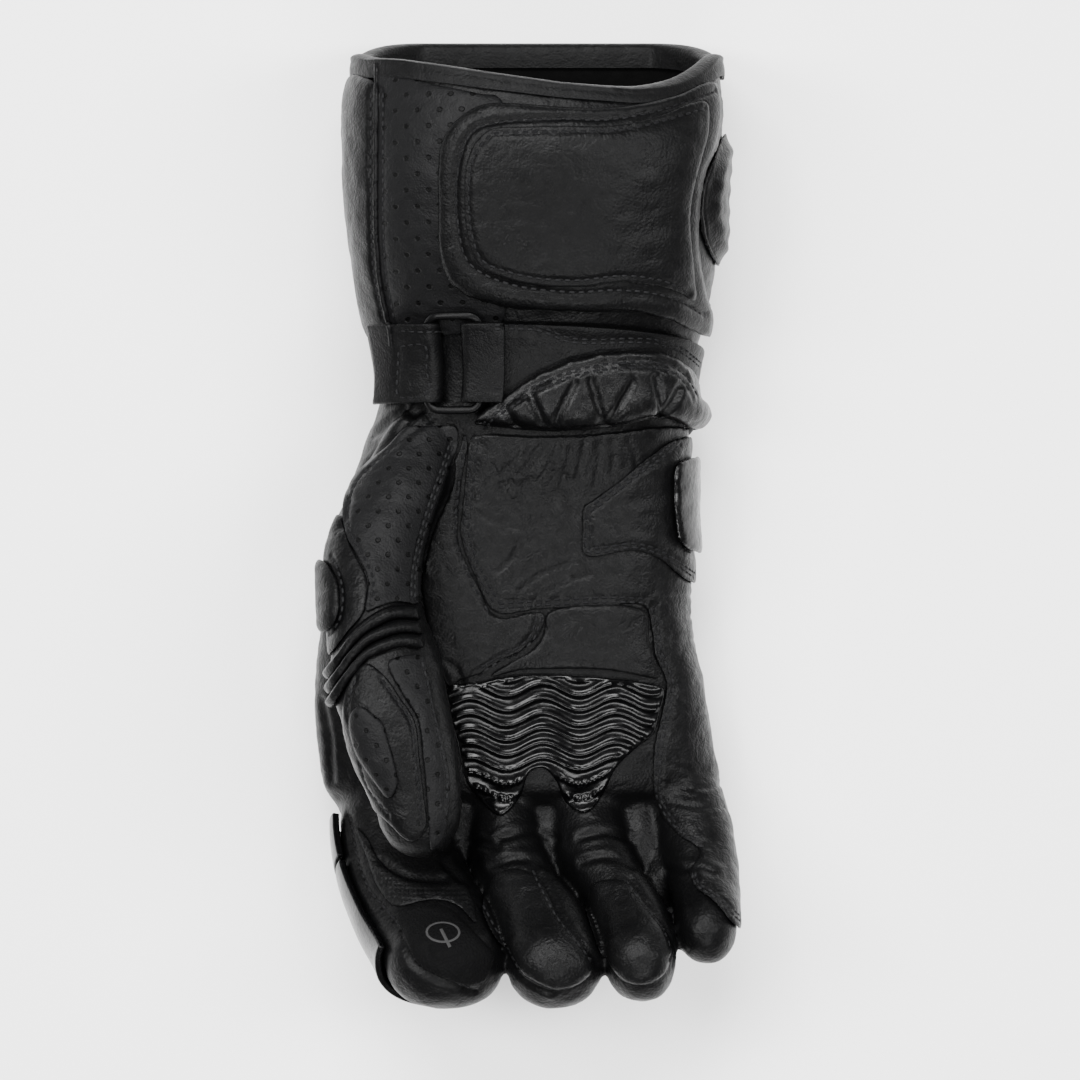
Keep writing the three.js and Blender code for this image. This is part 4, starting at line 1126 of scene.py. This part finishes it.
# Heel pad and palm slider: a second hide over the heel of the hand, and the glossy slider
# that takes the ground first.
heel_pad_line = flowing(seen([
    (680, 440), (650, 458), (620, 482), (591, 503), (584, 508), (582, 530), (583, 553),
    (590, 557), (634, 551), (659, 558), (692, 582), (760, 590), (760, 440)]))
roll_clear = prism("roll_clear", thin(heel_line), 0)
heel_pad = laid_panel("heel_pad_hide", heel_pad_line, 0.42 * hand_depth, second, overlay,
                      0.0006, edge=0.5, roll=0.003, clear=[roll_clear],
                      relief=palm_relief([], seed=12.0))
finish(heel_pad, palm_hide_and_painted_sheen, ["heel_pad"])
slider_line = flowing(seen([
    (678, 466), (690, 460), (740, 456), (740, 556), (700, 552), (684, 545), (678, 530)]))
slider_base = second + overlay + first
slider = laid_panel("palm_slider_shell", slider_line, 0.55 * hand_depth, slider_base, 0.0026,
                    0.0005, edge=0.55, roll=0.002,
                    relief=softly_uneven(0.00006, 0.0015, 3.0))
gloss_shell = worn_surface("gloss_shell", (0.001, 0.001, 0.0011), 0.24, grain=0.0012,
                           grain_depth=0.2, crease=0.05, shine=0.18)
finish(slider, gloss_shell, ["palm_slider"])

# Thumb: a perforated panel over its root, a knuckle panel with a pad, three stretch ribs, and
# an end panel with its own pad and a perforated strip.
thumb_level = 0.82 * thumb_height
tip_level = 0.97 * thumb_height
skin_clear = body_form("hand_clear", root_place - root_overlap, wrist_place + 0.02, 0.004, first,
                       96)
punched_thumb = worn_surface("punched_thumb_hide", (0.0032, 0.0032, 0.0034), 0.48, grain=0.0007,
                             holes=(0.0060, 0.0088, 0.00072, (0, math.radians(12), 0)))
thenar = laid_panel("thenar_perforated_panel", thenar_line, 0.95 * hand_depth, first, overlay,
                    0.0006, clear=[skin_clear],
                    relief=softly_uneven(0.0004, 0.011, 8.0))
finish(thenar, punched_thumb, ["thenar_panel"])
knuckle_line = flowing(seen([
    (342, 516), (347, 539), (356, 556), (367, 579), (364, 610), (348, 630), (327, 655),
    (300, 640), (296, 570), (310, 540), (330, 516)]))
knuckle = laid_panel("knuckle_hide", knuckle_line, thumb_level, first, overlay, 0.0005,
                     clear=[thenar_clear])
finish(knuckle, satin_hide, ["knuckle_panel"])
knuckle_pad_line = flowing(seen([
    (323, 559), (334, 578), (337, 596), (334, 618), (324, 631), (305, 624), (300, 593),
    (306, 566)]))
knuckle_pad = laid_panel("knuckle_pad_hide", knuckle_pad_line, thumb_level + overlay, second,
                         padding, 0.0005, edge=0.3, roll=0.0035)
finish(knuckle_pad, satin_hide, ["knuckle_pad"])
rib_top = seen([(421, 603), (394, 604), (370, 615), (348, 633), (333, 653), (316, 676)])
rib_bottom = seen([(427, 647), (406, 646), (385, 651), (368, 658), (356, 669), (343, 684),
                   (328, 712)])
rib_bottom = flowing(rib_bottom, 0.001, False)
rib_bottom = rib_bottom[np.linspace(0, len(rib_bottom) - 1, 40).astype(int)]
rib_top = flowing(rib_top, 0.001, False)
rib_top = rib_top[np.linspace(0, len(rib_top) - 1, 40).astype(int)]
knuckle_clear = prism("knuckle_clear", thin(knuckle_line), 0)
rib_count = 3
rib_fullness = 0.94
for rib in range(rib_count):
    upper = rib_top + (rib_bottom - rib_top) * (rib / rib_count)
    under = rib_top + (rib_bottom - rib_top) * ((rib + rib_fullness) / rib_count)
    rib_line = np.vstack([upper, under[::-1]])
    piece = laid_panel(f"stretch_rib_{rib + 1}", rib_line, thumb_level, first,
                       padding + 0.0004, 0.0004, edge=0.15, roll=0.0022, passes=6,
                       clear=[knuckle_clear, thenar_clear],
                       relief=softly_uneven(0.0002, 0.003, 6.0))
    finish(piece, satin_hide, [f"thumb_rib_{rib + 1}"])
ribs_line = np.vstack([rib_top, rib_bottom[::-1]])
ribs_clear = prism("ribs_clear", thin(ribs_line), 0)
tip_line = flowing(seen([
    (366, 663), (354, 674), (344, 695), (342, 712), (351, 750), (362, 790), (385, 820),
    (412, 842), (426, 828), (424, 796), (420, 762), (415, 721), (400, 697), (384, 675)]))
tip_panel = laid_panel("thumb_end_hide", tip_line, tip_level, first, overlay, 0.0005,
                       clear=[ribs_clear],
                       relief=softly_uneven(0.0003, 0.008, 2.5))
finish(tip_panel, satin_hide, ["tip_panel"])
tip_clear = prism("tip_clear", thin(tip_line), 0)
tip_pad_line = flowing(seen([
    (359, 706), (370, 712), (382, 723), (389, 744), (397, 785), (388, 798), (376, 785),
    (356, 755), (349, 732), (350, 714)]))
tip_pad = laid_panel("thumb_end_pad", tip_pad_line, tip_level, second, padding * 0.6, 0.0004,
                     edge=0.35, roll=0.003)
finish(tip_pad, punched_thumb, ["tip_pad"])
tip_side_line = flowing(seen([
    (388, 662), (400, 656), (423, 656), (429, 680), (436, 715), (444, 745), (450, 778),
    (449, 810), (444, 838), (432, 850), (429, 828), (427, 796), (424, 760), (418, 718),
    (402, 692)]))
tip_side = laid_panel("thumb_side_strip", tip_side_line, tip_level, first, overlay, 0.0005,
                      clear=[ribs_clear, tip_clear])
finish(tip_side, punched_thumb, ["tip_side_panel"])
for tool in (thumb_clear, thenar_clear, roll_clear, skin_clear, knuckle_clear, ribs_clear,
             tip_clear):
    bpy.data.objects.remove(tool)

# Index finger: two hard glossy plates sewn over its back, and a woven patch for touch screens
# let in over its pad.
def finger_sheet(name, finger, shares, degrees, height, thickness, columns, rows):
    angles = np.radians(np.linspace(*degrees, columns))
    points = np.array([finger_points(finger, share, angles, height + thickness / 2)
                       for share in np.linspace(*shares, rows)])
    piece = grid(name, points)
    modify(piece, "SOLIDIFY", thickness=thickness, offset=0)
    edit(piece, close_up)
    return piece


plate_shares = [(0.30, 0.50), (0.52, 1.0)]
plate_degrees = (158, 292)
plate_thickness = 0.0022
for number, shares in enumerate(plate_shares):
    plate = finger_sheet(f"index_plate_shell_{number + 1}", "index", shares, plate_degrees,
                         3 * first, plate_thickness, 60, 40)
    modify(plate, "BEVEL", width=0.0008, segments=3, limit_method="ANGLE")
    finish(plate, gloss_shell, [f"index_plate_{number + 1}"])


def lowest_seen(pixels):
    """The lowest level of the skin under a line of pixels, so that a finger's back is kept out."""
    hits = [skin_tree.ray_cast(*looking(x, y))[0] for x, y in pixels]
    return min(hit.z for hit in hits if hit) - 0.003


patch_pixels = [
    (397, 911), (412, 907), (425, 904), (447, 906), (457, 913), (472, 928), (484, 941),
    (495, 954), (493, 964), (486, 981), (470, 986), (450, 980), (430, 971), (417, 962),
    (409, 947), (404, 934), (398, 922)]
patch = laid_panel("touch_patch_cloth", flowing(seen(patch_pixels)), lowest_seen(patch_pixels),
                   2 * first, overlay, 0.0005, edge=0.35)
woven = worn_surface("woven_touch_cloth", (0.0009, 0.0009, 0.001), 0.75, grain=0.0009,
                     grain_depth=0.9, crease=0.1, shine=0.05)
finish(patch, woven, ["touch_patch"])

# Finger pads: the hide over the pads of the middle and ring fingers, let in between the seams
# and slightly proud of them. Their lighter palm hide is painted sheen on the pads.
middle_pad_pixels = [
    (484, 906), (505, 946), (523, 975), (551, 990), (578, 985), (594, 968), (584, 949),
    (558, 915), (537, 876), (512, 868), (492, 878)]
ring_pad_pixels = [
    (592, 884), (626, 880), (643, 902), (663, 927), (671, 950), (668, 970), (650, 984),
    (625, 982), (607, 962), (597, 935), (588, 908)]
finger_pads = []
for name, pixels in [("middle_pad_hide", middle_pad_pixels),
                     ("ring_pad_hide", ring_pad_pixels)]:
    pad = laid_panel(name, flowing(seen(pixels)), lowest_seen(pixels), 0.0002, 0.0011, 0.0005,
                     edge=0.25, roll=0.003,
                     relief=softly_uneven(0.0003, 0.007, 5.5))
    finish(pad, palm_hide_and_painted_sheen, None)
    finger_pads.append(pad)

# Index root: a strip of palm hide with printed grip dots, sewn in above the touch patch and
# partly hidden by the thumb.
index_root_pixels = [
    (354, 826), (366, 856), (376, 884), (392, 904), (402, 905), (425, 899), (448, 900),
    (462, 907), (477, 922), (474, 900), (466, 884), (440, 882), (415, 880), (394, 872),
    (378, 858), (366, 836)]
dot_pitch = 0.0028
dot_height = 0.0003


def grip_dots(points, away):
    across = np.cos((points[:, 0] + points[:, 1]) / dot_pitch * 2 * math.pi)
    along = np.cos((points[:, 0] - points[:, 1]) / dot_pitch * 2 * math.pi)
    return dot_height * np.clip(across * along, 0, 1) * ease(away, 0.0006, 0.0015)


index_root = laid_panel("index_root_hide", flowing(seen(index_root_pixels)),
                        lowest_seen(index_root_pixels), 0.0002, 0.0009, 0.0005, edge=0.4,
                        relief=grip_dots)
finish(index_root, palm_hide_and_painted_sheen, None)
finger_pads.append(index_root)
bpy.data.objects.remove(skin)

# Seams: rows of dark thread that sew the panels down. Each row draws the hide into a groove,
# and its short stitches lie over the finished surface. A cord of hide is sewn into the raised
# seam of the cuff.
stitch_pitch = 0.0029
stitch_length = 0.0021
thread_radius = 0.00042
thread_shares = (0, 0.2, 0.8, 1)
thread_sizes = (0.5, 1, 1, 0.5)
thread_sinks = (0.9, 0.1, 0.1, 0.9)
groove_width = 0.0009
groove_depth = 0.0005
seam_depth = 0.0011
piping_radius = 0.0009
rim_row_places = (0.0027, 0.0052)


def on_surface(pixels, closed=False):
    """Places and normals of the finished surface under a line of pixels."""
    view = bpy.context.evaluated_depsgraph_get()
    found = []
    for x, y in flowing(pixels, 1.3, closed):
        start, toward = looking(x, y)
        hit, place, normal, _, _, _ = bpy.context.scene.ray_cast(view, start, toward)
        if hit and place.z > 0.002:
            found.append((place.copy(), normal.copy()))
    return found


def beside(pixels, distance):
    """A line of pixels moved over: to the right of the picture where it runs down."""
    line = np.asarray(pixels, dtype=float)
    run = np.gradient(line, axis=0)
    run = run / np.linalg.norm(run, axis=1)[:, None]
    return line + distance * np.column_stack([run[:, 1], -run[:, 0]])


def stitches(row):
    """The points of each stitch along one row of places and normals."""
    places = np.array([place for place, _ in row])
    normals = np.array([normal for _, normal in row])
    steps = np.linalg.norm(np.diff(places, axis=0), axis=1)
    along = np.concatenate([[0], np.cumsum(np.minimum(steps, 0.002))])
    made = []
    for start in np.arange(0.0006, along[-1] - stitch_length, stitch_pitch):
        at = [np.interp(start + share * stitch_length, along, range(len(along)))
              for share in thread_shares]
        spots = [places[int(k)] + (places[min(int(k) + 1, len(places) - 1)]
                                   - places[int(k)]) * (k - int(k)) for k in at]
        if np.linalg.norm(spots[3] - spots[0]) > 1.4 * stitch_length:
            continue
        up = normals[int(at[1])]
        toward = spots[3] - spots[0]
        side = np.cross(up, toward)
        side = side / max(np.linalg.norm(side), 1e-9)
        rings = []
        for spot, size, sink in zip(spots, thread_sizes, thread_sinks):
            middle = spot - up * (groove_depth * 0.75 + thread_radius * sink)
            radius = thread_radius * size
            rings.append([middle + side * radius, middle + up * radius,
                          middle - side * radius, middle - up * radius])
        made.append(rings)
    return made


def sew(name, rows, material):
    """One piece of all the stitches of some rows."""
    points, faces = [], []
    for row in rows:
        if len(row) < 8:
            continue
        for rings in stitches(row):
            start = len(points)
            points.extend(tuple(point) for ring in rings for point in ring)
            for ring in range(3):
                for k in range(4):
                    a, b = start + ring * 4 + k, start + ring * 4 + (k + 1) % 4
                    faces.append((a, b, b + 4, a + 4))
            faces.append((start + 3, start + 2, start + 1, start))
            faces.append((start + 12, start + 13, start + 14, start + 15))
    mesh = bpy.data.meshes.new(name)
    mesh.from_pydata(points, [], faces)
    piece = bpy.data.objects.new(name, mesh)
    bpy.context.collection.objects.link(piece)
    edit(piece, close_up)
    finish(piece, material, None)
    return piece


def cord(name, row, radius, material, sink=0.35, flat=1.0):
    """A thin cord or printed line half sunk along a row of places and normals."""
    rings = []
    places = np.array([place for place, _ in row])
    for k, (place, normal) in enumerate(row):
        toward = places[min(k + 1, len(row) - 1)] - places[max(k - 1, 0)]
        side = np.cross(normal, toward)
        side = side / max(np.linalg.norm(side), 1e-9)
        middle = places[k] - np.array(normal) * radius * sink
        rings.append([middle + radius * (side * math.cos(turn)
                                         + np.array(normal) * math.sin(turn) * flat)
                      for turn in np.linspace(0, 2 * math.pi, 8, endpoint=False)])
    piece = tube(name, np.array(rings))
    finish(piece, material, None)
    return piece


def draw_down(pieces, rows, depth):
    """Sinks the hide along rows of stitches."""
    marks = [mark for row in rows for mark in row]
    near = kdtree.KDTree(len(marks))
    for number, (place, _) in enumerate(marks):
        near.insert(place, number)
    near.balance()
    for piece in pieces:
        points = read_points(piece)
        for k, point in enumerate(points):
            _, number, away = near.find(point)
            if away < 2.5 * groove_width:
                fall = depth * math.exp(-((away / groove_width) ** 2))
                points[k] -= np.array(marks[number][1]) * fall
        write_points(piece, points)


def rows_beside(edges):
    """Rows beside the edges of panels, each edge with its distances in pixels."""
    return [on_surface(beside(edge, away)) for edge, distances in edges for away in distances]


flap_pad_seam = [
    (706, 108), (657, 122), (616, 130), (570, 131), (520, 132), (493, 134), (480, 145),
    (471.5, 161), (468, 186), (471.5, 236), (482, 261), (506, 272), (538, 279), (579, 281),
    (613, 277), (637, 277), (671, 284), (690, 295)]
piping_right = [(382, 90), (382, 136), (382.5, 236), (386, 281), (395, 328)]
piping_left = [(370, 90), (370, 136), (370.5, 236), (374, 281), (382, 318)]
perforated_foot = [(398, 331), (430, 333), (446, 331)]
cuff_rows_sewn = [on_surface(line) for line in (flap_seam_pixels, flap_pad_seam, piping_right,
                                                piping_left, perforated_foot)]
strap_top = [(492, 320), (538, 321), (573, 333), (654, 334), (687, 344), (706, 359)]
strap_foot = [(492, 388), (510, 389)]
anchor_box = [(398, 348), (424, 346), (426, 370), (427, 393), (398, 396), (397, 372), (398, 349)]
roll_top = [(474, 424), (486, 412), (499, 402), (530, 381), (579, 363), (629, 356), (671, 359),
            (692, 373), (703, 392)]
wrist_rows = rows_beside([(strap_top, (-6, -10)), (roll_top, (-6, -11))])
wrist_rows += [on_surface(strap_foot), on_surface(anchor_box)]
patch_edge = [(470, 436), (466, 470), (463, 503), (460, 533), (466, 556), (475, 577),
              (484, 594), (495, 611)]
patch_foot = [(497, 612), (543, 609), (609, 606), (646, 607)]
pad_edge = [(676, 440), (634, 470), (591, 503), (585, 508), (583, 530), (583, 551), (590, 556),
            (612, 554), (634, 551), (659, 558), (692, 579)]
palm_edge = [(545, 616), (538, 639), (526, 652), (501, 665), (477, 680)]
side_edge = [(649, 606), (652, 627), (656, 655), (667, 683), (662, 716), (656, 741), (654, 799),
             (659, 812), (669, 826), (694, 846), (710, 850)]
back_edge = [(689, 871), (692, 885), (712, 898), (739, 923)]
palm_rows = rows_beside([
    (patch_edge, (3.5, 8.5)), (patch_foot, (3.5, 8)), (pad_edge, (3, 7)),
    (palm_edge, (-3, -7.5)), (side_edge, (3, 7)), (back_edge, (3, 6.5)), (patch_edge, (-5,))])
thenar_right = [(458, 445), (451, 466), (440, 497), (431, 526), (425, 550), (420, 578),
                (420, 600)]
thenar_left = [(388, 445), (367, 463), (351, 482), (343, 516), (348, 538), (357, 553),
               (369, 579), (368, 604)]
strip_edge = [(426, 658), (432, 680), (439, 715), (446, 745), (452, 778), (451, 808)]
tip_right = [(384, 675), (400, 697), (415, 721), (420, 762), (424, 796), (425, 826)]
tip_left = [(352, 676), (345, 695), (343, 712), (352, 750), (363, 790), (385, 818)]
knuckle_edge = [(331, 556), (339, 577), (342, 596), (339, 618), (329, 634)]
thumb_rows_sewn = rows_beside([
    (thenar_right, (-4, -7.5)), (thenar_left, (4,)), (strip_edge, (-4,)), (tip_right, (-4,)),
    (tip_left, (4,))])
thumb_rows_sewn.append(on_surface(knuckle_edge))
index_seam = [(346, 815), (354, 861), (366, 892), (384, 913), (404, 936), (407, 950), (416, 965),
              (438, 978), (465, 990), (476, 993)]
middle_left = [(480, 905), (503, 948), (521, 978), (551, 994)]
middle_right = [(535, 866), (560, 914), (587, 948), (598, 964)]
ring_seam = [(628, 876), (646, 901), (666, 926), (675, 950), (673, 967)]
finger_rows_sewn = rows_beside([
    (index_seam, (3.5,)), (middle_left, (3.5,)), (middle_right, (-3.5,)), (ring_seam, (-3.5,))])
finger_seams = [on_surface(line) for line in (index_seam, middle_left, middle_right, ring_seam)]
piping_line = [(376, 64), (376, 136), (376.5, 236), (379.6, 281), (389.6, 333), (391, 346)]
piping = on_surface(piping_line)
rim_turns = np.linspace(0, 2 * math.pi, 900)
rim_rows = []
for back in rim_row_places:
    low_ring = body_points(rim_place - back, rim_turns, first + 0.9 * overlay)
    high_ring = body_points(rim_place - back, rim_turns, first + overlay + 0.001)
    rim_rows.append([(Vector(low), (Vector(high) - Vector(low)).normalized())
                     for low, high in zip(low_ring, high_ring)])
thread = worn_surface("dark_thread", (0.0042, 0.0042, 0.0045), 0.6, grain=0.0003,
                      grain_depth=0.3, crease=0.1)
draw_down([glove, cuff, perforated, bulge, flap, flap_pad, heel, palm_overlay, lower,
           root_panel, heel_pad, thenar, knuckle, tip_panel, tip_side, long_strap, anchor,
           *finger_pads],
          cuff_rows_sewn + wrist_rows + palm_rows + thumb_rows_sewn + finger_rows_sewn,
          groove_depth)
draw_down([glove, palm_overlay], finger_seams, seam_depth)
for name, rows in [("rim_stitches", rim_rows), ("cuff_stitches", cuff_rows_sewn),
                   ("wrist_stitches", wrist_rows), ("palm_stitches", palm_rows),
                   ("finger_stitches", thumb_rows_sewn + finger_rows_sewn)]:
    sew(name, rows, thread)
cord("cuff_piping", piping, piping_radius, satin_hide)

# Touch mark: a plain ring and bar printed in grey on the touch patch, to show which finger
# works a screen.
grey_print = worn_surface("grey_print", (0.018, 0.018, 0.018), 0.6, grain=0.0006, crease=0.1)
mark_x = 443
mark_y = 932
mark_wide = (16, 2)
mark_tall = (-3, 9.5)
mark_bar = [(441, 929), (450, 947)]
mark_pixels = []
for turn in np.linspace(0, 2 * math.pi, 21)[:-1]:
    mark_pixels.append((mark_x + mark_wide[0] * math.cos(turn) + mark_tall[0] * math.sin(turn),
                        mark_y + mark_tall[1] * math.sin(turn) + mark_wide[1] * math.cos(turn)))
mark_ring = on_surface(mark_pixels, True)
mark_ring.append(mark_ring[0])
for name, row, radius in [("touch_mark_ring", mark_ring, 0.0004),
                          ("touch_mark_bar", on_surface(mark_bar), 0.00055)]:
    cord(name, row, radius, grey_print, 0.1, 0.35)
